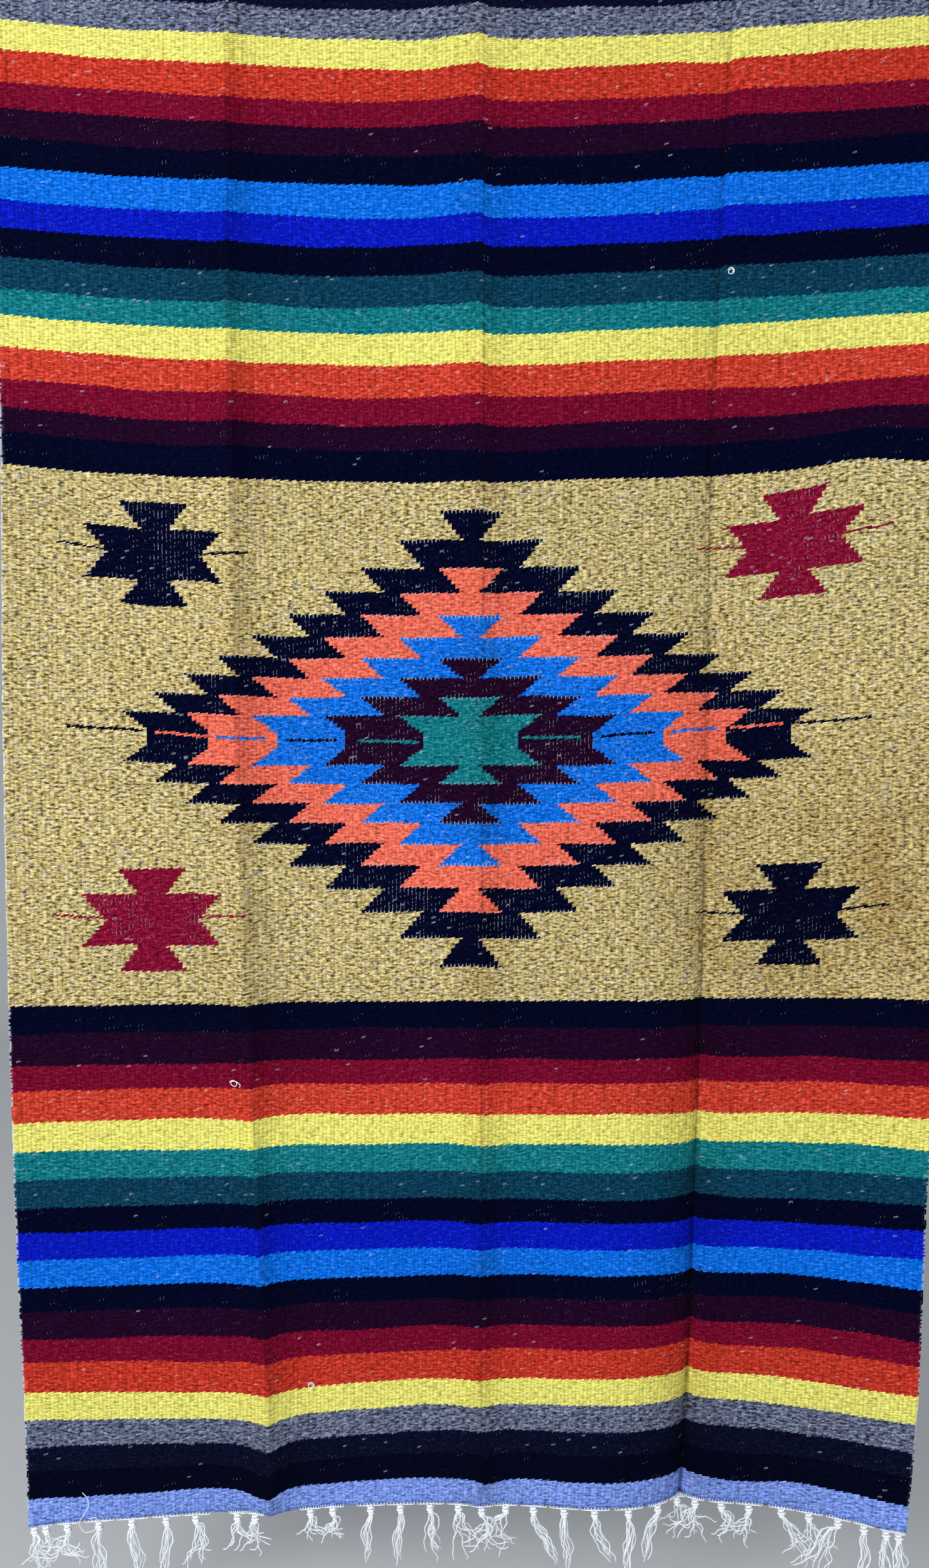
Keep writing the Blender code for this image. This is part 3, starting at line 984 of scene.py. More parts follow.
    def corner_figure(self) -> bpy.types.NodeTree:
        """Group that gives 1 inside a stepped cross and on its two whiskers.

        Its half width grows over one step by the waist's two widths, and over the
        next by the arm's, the same above and below.

        Returns:
            The group.
        """
        graph, given, out = new_group(
            "corner_figure",
            (
                "Float:Across", "Float:Down", "Float:Middle Across", "Float:Middle Down",
                "Float:Slope",
            ),
            ("Float:Mask",),
        )
        along = graph.math("SUBTRACT", given.outputs["Across"], given.outputs["Middle Across"])
        aside = graph.math("ABSOLUTE", along)
        level = graph.math("SUBTRACT", given.outputs["Down"], given.outputs["Middle Down"])
        drop = graph.math("MULTIPLY_ADD", along, given.outputs["Slope"], level)
        height = graph.math("ABSOLUTE", drop)
        step, overlap = self.figure_step, 0.1
        waist = graph.math("LESS_THAN", aside, graph.span(height, 0.0, step, *self.waist_widths))
        waist = graph.math("MULTIPLY", waist, graph.math("LESS_THAN", height, step))
        arm = graph.math("LESS_THAN", aside, graph.span(height, step, 2 * step, *self.arm_widths))
        arm = graph.math("MULTIPLY", arm, graph.between(height, step - overlap, 2 * step))
        line = graph.span(aside, self.waist_widths[0], self.whisker_reach, *self.whisker_rise)
        off_line = graph.math("ABSOLUTE", graph.math("ADD", drop, line))
        whisker = graph.math("LESS_THAN", off_line, self.whisker_half)
        reached = graph.math("LESS_THAN", aside, self.whisker_reach)
        whisker = graph.math("MULTIPLY", whisker, reached)
        body = graph.math("MAXIMUM", waist, arm)
        graph.feed(out.inputs["Mask"], graph.math("MAXIMUM", body, whisker))
        return graph.tree

    def heather(self) -> bpy.types.NodeTree:
        """Group that turns one yarn colour into heathered beads with warp between them.

        Lightness comes from drawn-out fibre noise, the bead's chance and slubs, and is
        swung more in a more heathered yarn. Each bead carries painted shade towards its
        edges and a painted highlight on its crown. Pale flecks of fibre, dots of bare warp in
        dark yarn and the ticks of the diamond's steps are mixed in as warp white.

        Returns:
            The group.
        """
        finish = self.finish
        graph, given, out = new_group(
            "heather",
            (
                "Vector:Chart", "Color:Yarn", "Float:Heather", "Float:Bead", "Float:Chance",
                "Float:Fleck", "Float:Warp Gap", "Float:Field", "Float:Tick",
            ),
            ("Color:Colour", "Float:Height"),
        )
        chart, strength = given.outputs["Chart"], given.outputs["Heather"]
        gap, chance = given.outputs["Warp Gap"], given.outputs["Chance"]
        fibre = graph.noise(graph.stretched(chart, finish.fibre_squeeze), finish.fibre_scale, 3.0)
        thrown = graph.math("MULTIPLY", chance, 0.34)
        spun = graph.math("ADD", graph.math("MULTIPLY", fibre, 1.3), thrown)
        lumps = graph.noise(graph.stretched(chart, finish.slub_squeeze), finish.slub_scale, 1.0)
        slub = graph.math("SUBTRACT", lumps, 0.5)
        evened = graph.math("SUBTRACT", spun, 0.82)
        lightness = graph.math("MULTIPLY_ADD", slub, finish.slub_strength, evened)
        gain = graph.math("MULTIPLY_ADD", strength, 1.45, 0.50)
        swing = graph.math("MULTIPLY", lightness, gain)
        value = graph.math("MAXIMUM", graph.math("ADD", swing, 1.0), finish.least_light)
        # Painted shade and highlight of each bead: darker towards its edges, lighter on its crown.
        bead_shade_and_highlight = graph.span(given.outputs["Bead"], 0.0, 0.85, 0.62, 1.10)
        value = graph.math("MULTIPLY", value, bead_shade_and_highlight)
        shaded = graph.lit(given.outputs["Yarn"], value)
        brightness = graph.node("ShaderNodeRGBToBW")
        graph.feed(brightness.inputs[0], given.outputs["Yarn"])
        brightish = graph.span(brightness.outputs[0], 0.0, 0.20, 0.05, 1.0)
        haze = graph.math("MULTIPLY", graph.span(swing, 0.12, 1.1, 0.0, 0.17), brightish)
        shaded = graph.mix(haze, shaded, finish.warp_white)
        many = graph.math("MULTIPLY_ADD", graph.math("POWER", strength, 3.0), -0.16, 0.9993)
        pale = graph.math("GREATER_THAN", given.outputs["Fleck"], many)
        pale = graph.math("MULTIPLY", pale, graph.span(fibre, 0.46, 0.54))
        flecked = graph.math("MULTIPLY", pale, finish.fleck_strength)
        shaded = graph.mix(flecked, shaded, finish.warp_white)
        dark = graph.span(brightness.outputs[0], 0.02, 0.30, 1.0, 0.10)
        patchy = graph.span(graph.noise(chart, 11.0, 2.0), 0.42, 0.66, 0.06, 1.0)
        share = graph.math("MULTIPLY_ADD", given.outputs["Field"], 0.24, 0.02)
        drawn = graph.math("MULTIPLY", graph.math("MULTIPLY", dark, patchy), share)
        seen = graph.math("LESS_THAN", chance, drawn)
        strong = graph.math("MULTIPLY_ADD", given.outputs["Field"], 0.12, 0.14)
        dot = graph.math("MULTIPLY", graph.math("MULTIPLY", seen, gap), strong)
        ticked = graph.math("MULTIPLY", given.outputs["Tick"], gap)
        ticked = graph.math("MULTIPLY", ticked, finish.tick_strength)
        shaded = graph.mix(graph.math("MAXIMUM", dot, ticked), shaded, finish.warp_white)
        graph.feed(out.inputs["Colour"], shaded)
        height = graph.math("MULTIPLY_ADD", fibre, 0.25, given.outputs["Bead"])
        graph.feed(out.inputs["Height"], height)
        return graph.tree

    def material(self) -> bpy.types.Material:
        """The woven cloth: the chart's colours on beads of weft, with grime, painted shade along
        the creases and white edges.

        Returns:
            The material.
        """
        finish = self.finish
        made, graph = new_material("woven_cloth")
        chart = graph.uv_map("chart")
        beads = place_group(graph, self.bead_grid(), Chart=chart)
        across, down = beads.outputs["Across"], beads.outputs["Down"]
        stripes = place_group(graph, self.stripes(), Down=down)
        diamond = place_group(
            graph, self.diamond(), Across=across, Down=down, Under=stripes.outputs["Colour"]
        )
        colour, figures = diamond.outputs["Colour"], diamond.outputs["Mask"]
        figure_tree = self.corner_figure()
        for middle_across, middle_down, slope, yarn in self.corners:
            figure = place_group(
                graph, figure_tree, Across=across, Down=down,
                Middle_Across=float(middle_across), Middle_Down=float(middle_down), Slope=slope,
            )
            colour = graph.mix(figure.outputs["Mask"], colour, yarn.rgba)
            figures = graph.math("MAXIMUM", figures, figure.outputs["Mask"])
        change = graph.math("SUBTRACT", finish.figure_heather, stripes.outputs["Heather"])
        strength = graph.math("MULTIPLY_ADD", change, figures, stripes.outputs["Heather"])
        woven = place_group(
            graph, self.heather(), Chart=chart, Yarn=colour, Heather=strength,
            Bead=beads.outputs["Bead"], Chance=beads.outputs["Chance"],
            Fleck=beads.outputs["Fleck"], Warp_Gap=beads.outputs["Warp Gap"], Field=figures,
            Tick=diamond.outputs["Tick"],
        )
        cloudy = graph.span(graph.noise(chart, 3.2, 3.0), 0.3, 0.7, 0.93, 1.06)
        cast = graph.lit(woven.outputs["Colour"], cloudy)
        # The folds map holds painted shade along the creases in X and the selvedge's bare warp in
        # Y; the shade is broken up by noise and mixed toward fold_shade.
        crease_shade_and_edge = graph.split(graph.uv_map("folds"))
        broken = graph.span(graph.noise(chart, 30.0, 3.0), 0.3, 0.7, 0.35, 1.0)
        fold = graph.math("MULTIPLY", crease_shade_and_edge.outputs["X"], broken)
        cast = graph.mix(fold, cast, finish.fold_shade)
        soil = graph.split(graph.uv_map("soil"))
        cloud = graph.span(graph.noise(chart, 14.0, 5.0), 0.38, 0.70, 0.25, 1.0)
        stain = graph.math("MULTIPLY", soil.outputs["X"], cloud)
        cast = graph.mix(stain, cast, graph.mix(1.0, cast, finish.grime, "MULTIPLY"))
        bare = graph.math("GREATER_THAN", beads.outputs["Fleck"], 0.45)
        edge = graph.math("MULTIPLY", crease_shade_and_edge.outputs["Y"], bare)
        edge = graph.math("MULTIPLY", edge, finish.selvedge_white)
        cast = graph.mix(edge, cast, finish.warp_white)
        look = (finish.roughness, finish.specular, finish.bump_strength, finish.bead_depth)
        finish_material(graph, cast, woven.outputs["Height"], look)
        return made


@dataclass
class BlanketCloth:
    """The cloth itself: one sheet with a front, a back and a rounded rim."""

    shape: HangingShape
    chart: BlanketChart
    panel_cells: int = 44
    rows: int = 250
    cockle: float = 0.0011
    selvedge_wave: float = 0.0009
    # Uneven beating: line, side of it (0 for both), millimetres beside it, length down,
    # push down, reach across, reach down.
    pushes: ClassVar[tuple[tuple[str, int, float, float, float, float, float], ...]] = (
        ("left_crease", 0, -12, 2020, 12, 26, 60),
        ("left_crease", 0, -8, 1930, 4, 26, 70),
        ("left_crease", 0, -20, 130, 3.5, 55, 260),
        ("mid_crease", 1, 0, 300, 5.0, 150, 420),
        ("mid_crease", -1, 0, 300, -2.5, 60, 420),
        ("mid_crease", 1, 10, 2018, 6, 32, 40),
        ("right_crease", 1, 0, 330, -4.0, 60, 260),
        ("right_crease", 0, 75, 2018, 8, 55, 40),
        ("right_crease", 0, 190, 677, -10, 60, 70),
        ("left_crease", 1, 0, 1560, -3.0, 90, 240),
    )
    # Painted shade along the crease lines: line, darkness at the top and the bottom, reach in
    # millimetres.
    crease_shade_lines: ClassVar[tuple[tuple[str, float, float, float], ...]] = (
        ("left_crease", 0.28, 0.40, 1.9),
        ("mid_crease", 0.45, 0.50, 1.7),
        ("right_crease", 0.42, 0.95, 2.2),
    )
    # Grooves and ridges pressed along the lines: line, height at the top and bottom, reach.
    pressed: ClassVar[tuple[tuple[str, float, float, float], ...]] = (
        ("left_crease", 0.5, 1.4, 4.0),
        ("mid_crease", -0.6, -1.0, 3.0),
        ("right_crease", -1.2, -4.5, 4.5),
    )
    # Brown cast along the creases: line, strength, reach, growth down it (0 where even).
    casts: ClassVar[tuple[tuple[str, float, float, float], ...]] = (
        ("right_crease", 0.45, 0.05, 1.4),
        ("mid_crease", 0.40, 0.03, 0.0),
        ("left_crease", 0.30, 0.04, 0.0),
    )
    # The broad stain: across, down, strength, reach.
    stain: ClassVar[tuple[float, float, float, float]] = (0.52, 1.22, 0.75, 0.20)
    # The short level fold by the left selvedge: down, slope, its inner end, how it fades.
    level_line: ClassVar[tuple[float, float, float, float]] = (1.084, 0.02, -0.33, 0.1)
    # The short level fold's groove depth, and the strength of the painted shade along it.
    level_depth: float = 0.0009
    level_shade: float = 0.22

    def level_fold(self, across: Array, down: Array, reach: float) -> Array:
        """How near a place is to the short level fold.

        Args:
            across: Places across.
            down: Lengths down.
            reach: How far the fold reaches to each side of its line.

        Returns:
            From 0 to 1, 1 on the fold.
        """
        line_down, slope, inner_end, fade = self.level_line
        away = (down - line_down - slope * across) / reach
        return np.exp(-(away**2)) * np.clip((inner_end - across) / fade, 0.0, 1.0)

    def grid(self) -> tuple[Array, Array]:
        """Lay out the sheet's columns and rows.

        Returns:
            (columns, rows) places across, which follow the creases and crowd there, and
            lengths down.
        """
        down = np.linspace(0.0, self.shape.length, self.rows)
        lines = np.array([self.shape.across_of(line, down) for line in self.shape.lines])
        ease = 0.5 - 0.5 * np.cos(np.linspace(0.0, math.pi, self.panel_cells + 1))
        part = 0.35 * np.linspace(0.0, 1.0, self.panel_cells + 1) + 0.65 * ease
        panels = [
            first + part[:-1, None] * (second - first)
            for first, second in zip(lines[:-1], lines[1:])
        ]
        across = np.concatenate((*panels, lines[-1:]))
        return across, np.broadcast_to(down, across.shape).copy()

    def relief(self, across: Array, down: Array) -> Array:
        """Small unevenness of the hanging cloth, in metres towards the front.

        It is soft noise at three sizes. The finest is drawn out along the weft, and all
        of it grows towards the bottom and the selvedges, which nothing pulls straight.

        Args:
            across: Places across.
            down: Lengths down.

        Returns:
            Heights on the same grid.
        """
        broad = soft_noise(across, down * 0.8, 0.110, 4)
        middle = soft_noise(across, down * 1.3, 0.046, 5)
        fine = soft_noise(across * 0.8, down * 2.2, 0.019, 6)
        free = 0.55 + 0.45 * down / self.shape.length
        loose = 1.0 + 1.6 * np.exp(-(0.5 * self.shape.width - np.abs(across)) / 0.030)
        relief = self.cockle * free * loose * (1.2 * broad + 0.6 * middle + 0.28 * fine)
        part = down / self.shape.length
        for line, top, bottom, reach in self.pressed:
            away = (across - self.shape.across_of(line, down[0])) / (reach * MILLIMETRE)
            relief += (top + (bottom - top) * part) * MILLIMETRE * np.exp(-(away**2))
        return relief - self.level_depth * self.level_fold(across, down, 0.004)

    def maps(self, across: Array, down: Array) -> dict[str, Array]:
        """The chart map, the folds and edges map and the soil map, for front and back.

        The chart is the flat cloth's own places, pushed by a few bell curves where the
        weft was beaten unevenly. Folds holds the painted shade along each crease line and
        the short level fold, and where the selvedge shows warp. Soil holds a broad brown cast.

        Args:
            across: Places across.
            down: Lengths down.

        Returns:
            Maps by name, with one row for each vertex.
        """
        shape = self.shape
        lines = {line: shape.across_of(line, down[0]) for line in shape.lines}
        pushed = np.zeros(across.shape)
        for line, side, beside, at, amount, reach, length in self.pushes:
            from_line = (across - lines[line] - beside * MILLIMETRE) / (reach * MILLIMETRE)
            from_row = (down - at * MILLIMETRE) / (length * MILLIMETRE)
            beyond = side * (across - lines[line]) / 0.0045
            one_sided = 0.5 + 0.5 * np.tanh(beyond) if side else 1.0
            pushed += amount * MILLIMETRE * one_sided * np.exp(-(from_line**2) - from_row**2)
        pushed += 0.0017 * soft_noise(across, down * 1.3, 0.075, 12)
        pushed += 0.0009 * soft_noise(across, down * 1.6, 0.028, 13)
        chart = np.stack((across, down - pushed), axis=-1)
        part = down / shape.length
        # Painted shade along the crease lines and the short level fold.
        fold = np.zeros(across.shape)
        for line, top, bottom, reach in self.crease_shade_lines:
            away = (across - lines[line]) / (reach * MILLIMETRE)
            fold += (top + (bottom - top) * part) * np.exp(-(away**2))
        fold += self.level_shade * self.level_fold(across, down, 0.0022)
        edge = np.clip(1.0 - (0.5 * shape.width - np.abs(across)) / 0.0026, 0.0, 1.0)
        stain_across, stain_down, strength, reach = self.stain
        aside, above = (across - stain_across) / reach, (down - stain_down) / reach
        soil = strength * np.exp(-(aside**2) - above**2)
        for line, strength, reach, growth in self.casts:
            grown = np.clip(part * growth, 0.0, 1.0) if growth else 1.0
            soil += strength * np.exp(-(((across - lines[line]) / reach) ** 2)) * grown
        grids = {
            "chart": chart,
            "folds": np.stack((np.clip(fold, 0.0, 1.0), edge), axis=-1),
            "soil": np.stack((np.clip(soil, 0.0, 1.0), np.zeros(soil.shape)), axis=-1),
        }
        return {name: np.tile(grid.reshape(-1, 2), (2, 1)) for name, grid in grids.items()}

    def build(self) -> bpy.types.Object:
        """Make the sheet with its maps and its woven material.

        Returns:
            The cloth.
        """
        shape = self.shape
        across, down = self.grid()
        middle = shape.surface(across, down)
        normals = shape.normals(middle)
        middle = middle + self.relief(across, down)[..., None] * normals
        side = np.abs(across) / (0.5 * shape.width)
        fray = soft_noise(down, across * 0 + np.sign(across), 0.007, 8) * side**40
        middle[..., 0] += self.selvedge_wave * fray * np.sign(across)
        uneven = soft_noise(across, down * 0, 0.013, 9) + soft_noise(across, down * 0, 0.034, 10)
        end = np.exp(-np.minimum(down, shape.length - down) / 0.012)
        middle[..., 2] += 0.0009 * uneven * end
        normals = shape.normals(middle)
        rim = np.minimum(0.5 * shape.width - np.abs(across), np.minimum(down, shape.length - down))
        thin = np.sqrt(np.clip(rim / 0.0024, 0.12, 1.0))
        half = 0.5 * shape.thickness * thin[..., None]
        columns, rows = across.shape
        sides = (middle + half * normals, middle - half * normals)
        vertices = np.concatenate([points.reshape(-1, 3) for points in sides])
        count = columns * rows
        loop = np.concatenate((
            np.arange(columns) * rows,
            (columns - 1) * rows + np.arange(1, rows),
            np.arange(columns - 2, -1, -1) * rows + rows - 1,
            np.arange(rows - 2, 0, -1),
        ))
        following = np.roll(loop, -1)
        hem = np.stack((loop, following, following + count, loop + count), axis=1)
        front, back = grid_faces(columns, rows), grid_faces(columns, rows, count, True)
        faces = np.concatenate((front, back, hem))
        piece = add_piece("woven_blanket", vertices, faces, self.maps(across, down))
        piece.data.materials.append(self.chart.material())
        return piece


@dataclass
class CottonFringe:
    """Knotted warp ends along one end of the cloth. Table lengths in millimetres."""

    shape: HangingShape
    name: str
    down: float
    tassels: Sequence[tuple[float, float, float, float]]
    behind: bool
    seed: int
    ends: int = 9
    points: int = 15
    end_radius: float = 0.00088
    knot_length: float = 0.011
    hem_clearance: float = 0.0012
    most_forward: float = 0.006
    follow_hem: float = 0.25
    knot_turns: float = 2.6
    knot_swell: float = 0.0034
    knot_radius: float = 0.0018
    gather_radius: float = 0.00062
    bundle_radius: float = 0.0016

    def knots(self, roots: Array, along: Array, front: Array, fall: Array) -> Tubes:
        """Tubes wound knot_turns times round each bundle at the hem.

        The path circles the fall line with a radius that swells and closes, while it
        sinks by a knot's length.

        Args:
            roots: (tassels, 3) points where the bundles leave the hem.
            along: Directions along the hem.
            front: Directions to the front.
            fall: Directions the bundles leave in.

        Returns:
            Paths and radii.
        """
        t = np.linspace(0.0, 1.0, 26)
        turn = 2 * math.pi * self.knot_turns * t
        swell = self.knot_swell * np.sin(math.pi * (0.15 + 0.75 * t)) ** 0.8
        ring = (
            np.cos(turn)[:, None] * along[:, None] * 1.25
            + np.sin(turn)[:, None] * front[:, None]
        ) * swell[:, None]
        sunk = (0.0015 + self.knot_length * t)[:, None] * fall[:, None]
        paths = roots[:, None] + ring + sunk
        return paths, np.full(paths.shape[:2], self.knot_radius)

    def gathers(
        self, roots: Array, pitch: Array, across: Array, random: np.random.RandomState
    ) -> Tubes:
        """Warp ends that leave the hem one by one and run along it into their knot.

        Args:
            roots: (tassels, 3) tops of the knots.
            pitch: How far each tassel gathers from, on each side.
            across: (tassels,) places of the tassels across the cloth.
            random: Where the small differences come from.

        Returns:
            Paths and radii.
        """
        lanes = np.linspace(-1.0, 1.0, self.ends)
        starts = across[:, None] + lanes * pitch[:, None]
        outermost = 0.5 * self.shape.width - 0.002
        starts = np.clip(starts, -outermost, outermost)
        points, _, _, downward = self.shape.edge_frames(starts.ravel(), self.down)
        away = downward * (1.0 if self.down > 0 else -1.0)
        start = points - 0.0015 * away
        out = points + (self.hem_clearance + 0.0006) * away
        goal = np.repeat(roots, self.ends, axis=0)
        jitter = random.uniform(-0.0006, 0.0006, goal.shape)
        t = np.array((0.0, 0.35, 0.7, 1.0))[None, :, None]
        run = out[:, None] * (1 - t) + (goal + jitter)[:, None] * t
        run[:, 1:3] += away[:, None] * 0.0004
        paths = np.concatenate((start[:, None], run), axis=1)
        return paths, np.full(paths.shape[:2], self.gather_radius)

    def strands(
        self, starts: Array, along: Array, random: np.random.RandomState
    ) -> Tubes:
        """Loose ends that fall from the knots, kinked, drifting and curling.

        Each path adds up short steps. A step's angle from straight down is the tassel's
        drift and its shared sway, a fan that opens and closes again, two sine waves of
        random phase and, in the curlier tassels, a curl that grows to the tip. How far
        an end comes forward levels off at most_forward, and it spreads along a line
        that follows the hem's turn by follow_hem.

        Args:
            starts: (tassels, 3) undersides of the knots.
            along: Directions along the hem.
            random: Where phases and lengths come from.

        Returns:
            Paths and radii.
        """
        table = np.array(self.tassels, float)
        drift, reach, curl = table[:, 1], table[:, 2] * MILLIMETRE, table[:, 3]
        count = len(table) * self.ends
        t = np.linspace(0.0, 1.0, self.points)[None, :]

        def each(values: Array) -> Array:
            """Repeat a tassel's value for each of its ends.

            Args:
                values: One for each tassel.

            Returns:
                (ends, 1) values.
            """
            return np.repeat(values, self.ends)[:, None]

        fan = np.tile(np.linspace(-1.0, 1.0, self.ends), len(table))[:, None]
        spread = each(0.20 + 0.30 * curl) * fan * np.cos(math.pi * np.minimum(t * 0.85, 1.0))
        phase = random.uniform(0, 2 * math.pi, (4, count, 1))
        rate = random.uniform(1.4, 2.8, (4, count, 1))
        shared = random.uniform(0, 2 * math.pi, (2, len(table)))
        shared = np.repeat(shared, self.ends, axis=1)[..., None]
        sway = (0.20 + 0.25 * each(curl)) * np.sin(shared[0] + 2 * math.pi * 1.1 * t)
        kink = 0.16 + 0.50 * each(curl)
        swing = kink * np.sin(phase[0] + 2 * math.pi * rate[0] * t)
        swing += 0.6 * kink * np.sin(phase[1] + 4 * math.pi * rate[1] * t)
        strongest = random.uniform(-4.6, 4.6, (count, 1))
        curling = np.maximum(each(curl) - 0.25, 0.0) * strongest * t**1.5
        angle = each(np.arctan2(drift, 60.0)) + spread + sway + swing + curling
        swerve = 0.42 * kink * np.sin(phase[2] + 2 * math.pi * rate[2] * t)
        swerve = swerve + 0.10 * random.normal(size=(count, 1))
        swerve += 0.15 * np.sin(shared[1] + 2 * math.pi * 0.8 * t)
        lengths = each(reach) * random.uniform(0.78, 1.18, (count, 1)) / (self.points - 1)
        side, drop, ahead = np.sin(angle), np.cos(angle) * np.cos(swerve), np.sin(swerve)
        if self.behind:
            ahead = -np.abs(ahead) * 0.2
            drop = np.abs(drop)
        level = along * np.array((1.0, self.follow_hem, 0.0))
        level /= np.linalg.norm(level, axis=-1, keepdims=True)
        facing = np.cross(np.array((0.0, 0.0, -1.0)), level)
        walked = np.stack((side, ahead, drop)) * lengths
        walked[:, :, 0] = 0.0
        aside, forward, fallen = np.cumsum(walked, axis=2)[..., None]
        forward = self.most_forward * np.tanh(forward / self.most_forward)
        level, facing, origin = (
            np.repeat(values, self.ends, axis=0) for values in (level, facing, starts)
        )
        offsets = (
            aside * level[:, None]
            + forward * facing[:, None]
            + fallen * np.array((0.0, 0.0, -1.0))
        )
        turn = np.tile(np.arange(self.ends) * 2.4, len(table))[:, None]
        origin = origin + self.bundle_radius * (np.cos(turn) * level + np.sin(turn) * facing)
        radii = np.broadcast_to(self.end_radius * (1.0 - 0.25 * t), (count, self.points))
        return origin[:, None] + offsets, radii

    def build(self, finish: CottonFinish) -> bpy.types.Object:
        """Make every tassel as one piece.

        Args:
            finish: The cotton.

        Returns:
            The fringe.
        """
        random = np.random.RandomState(self.seed)
        across = np.array([row[0] for row in self.tassels]) * MILLIMETRE
        points, along, front, downward = self.shape.edge_frames(across, self.down)
        gap = np.diff(np.concatenate(([across[0] - 0.03], across, [across[-1] + 0.03])))
        pitch = 0.46 * np.minimum(gap[:-1], gap[1:])
        if self.behind:
            back = -front
            turned = 0.80 * back + 0.25 * np.array((0.0, 0.0, -1.0))
            turned /= np.linalg.norm(turned, axis=-1, keepdims=True)
            tops = points - downward * (self.hem_clearance + 0.002) + 0.0022 * back
            starts = tops + turned * (self.knot_length * 0.9)
            knots = self.knots(tops, along, front, turned)
        else:
            tops = points + downward * self.hem_clearance
            fall = downward * 0.4 + np.array((0.0, 0.0, -0.6))
            fall /= np.linalg.norm(fall, axis=-1, keepdims=True)
            starts = tops + fall * self.knot_length
            knots = self.knots(tops, along, front, fall)
        groups = [(*knots, 7)]
        groups.append((*self.gathers(tops, pitch, across, random), 5))
        groups.append((*self.strands(starts, along, random), 5))
        vertices, faces, maps, count = [], [], [], 0
        for paths, radii, sides in groups:
            part_vertices, part_faces, part_map = tube_mesh(paths, np.array(radii), sides)
            vertices.append(part_vertices)
            faces.append(part_faces + count)
            maps.append(part_map)
            count += len(part_vertices)
        twist = {"twist": np.concatenate(maps)}
        piece = add_piece(self.name, np.concatenate(vertices), np.concatenate(faces), twist)
        piece.data.materials.append(cotton_material(finish))
        return piece


def cotton_material(finish: CottonFinish) -> bpy.types.Material:
    """Plied cotton: slanting plies from a twist map, soft shade between them.

    Args:
        finish: Colours and how close the plies lie.

    Returns:
        The material, made once.
    """
    found = bpy.data.materials.get("cotton_fringe")
    if found:
        return found
    made, graph = new_material("cotton_fringe")
    twist = graph.split(graph.uv_map("twist"))
    along, around = twist.outputs["X"], twist.outputs["Y"]
    angle = graph.math("MULTIPLY_ADD", along, finish.plies_per_metre, around)
    wave = graph.math("SINE", graph.math("MULTIPLY", angle, 2 * math.pi))
    ply = graph.math("MULTIPLY_ADD", wave, 0.5, 0.5)
    place = graph.node("ShaderNodeTexCoord").outputs["Object"]
    fluff = graph.noise(place, finish.fluff_scale, 2.0)
    mottled = graph.span(fluff, 0.25, 0.75, 0.7, 1.1)
    shade = graph.math("MULTIPLY", graph.math("POWER", ply, 0.6), mottled)
    colour = graph.mix(shade, finish.shade, finish.colour)
    height = graph.math("MULTIPLY_ADD", fluff, 0.4, ply)
    look = (finish.roughness, finish.specular, finish.bump_strength, finish.ply_depth)
    finish_material(graph, colour, height, look)
    return made


@dataclass
class LooseThreads:
    """A loose thread over the bottom band and bits of lint caught on the weave."""

    shape: HangingShape
    # Each thread: points as (across, down) in millimetres.
    threads: ClassVar[tuple[tuple[tuple[float, float], ...], ...]] = (
        (
            (-529, 2018), (-523, 2026), (-521, 2037), (-527, 2049), (-533, 2058), (-532, 2068),
            (-525, 2075), (-514, 2072), (-508, 2064), (-512, 2055), (-521, 2056),
        ),
        (
            (-325, 1459), (-321, 1456), (-316, 1458), (-315, 1462), (-319, 1464), (-323, 1461),
            (-322, 1458), (-318, 1457), (-313, 1459), (-310, 1462), (-311, 1465),
        ),
        (
            (-226, 1873), (-222, 1871), (-218, 1873), (-217, 1877), (-220, 1879), (-224, 1878),
            (-225, 1875), (-222, 1873), (-219, 1874), (-218, 1876), (-220, 1877),
        ),
        (
            (323, 429), (326, 426), (329, 427), (331, 430), (330, 433), (327, 434),
            (324, 432), (325, 429), (328, 428), (330, 431), (328, 432),
        ),
    )
    radius: float = 0.0005
    lift_off: float = 0.0006

    def build(self, finish: CottonFinish) -> bpy.types.Object:
        """Make all threads as one piece that lies on the cloth's front.

        Each thread is a cubic through its points, laid on the front of the cloth.

        Args:
            finish: The cotton.

        Returns:
            The threads.
        """
        table = np.array(self.threads, float) * MILLIMETRE
        stations = np.arange(table.shape[1], dtype=float)
        at = np.linspace(0.0, stations[-1], 60)
        flat = np.stack(
            [[hermite_line(stations, line[:, k], at) for k in range(2)] for line in table]
        )
        across, down = flat[:, 0], flat[:, 1]
        step = 0.003
        lines = []
        for one_across, one_down in zip(across, down):
            grid = np.stack((one_across - step, one_across, one_across + step))
            points = self.shape.surface(grid, np.tile(one_down, (3, 1)))
            along = points[2] - points[0]
            normal = np.cross(np.array((0.0, 0.0, -1.0)), along)
            normal /= np.linalg.norm(normal, axis=-1, keepdims=True)
            lines.append(points[1] + normal * (0.5 * self.shape.thickness + self.lift_off))
        paths = np.array(lines)
        vertices, faces, twist = tube_mesh(paths, np.full(paths.shape[:2], self.radius), 6)
        piece = add_piece("loose_threads", vertices, faces, {"twist": twist})
        piece.data.materials.append(cotton_material(finish))
        return piece


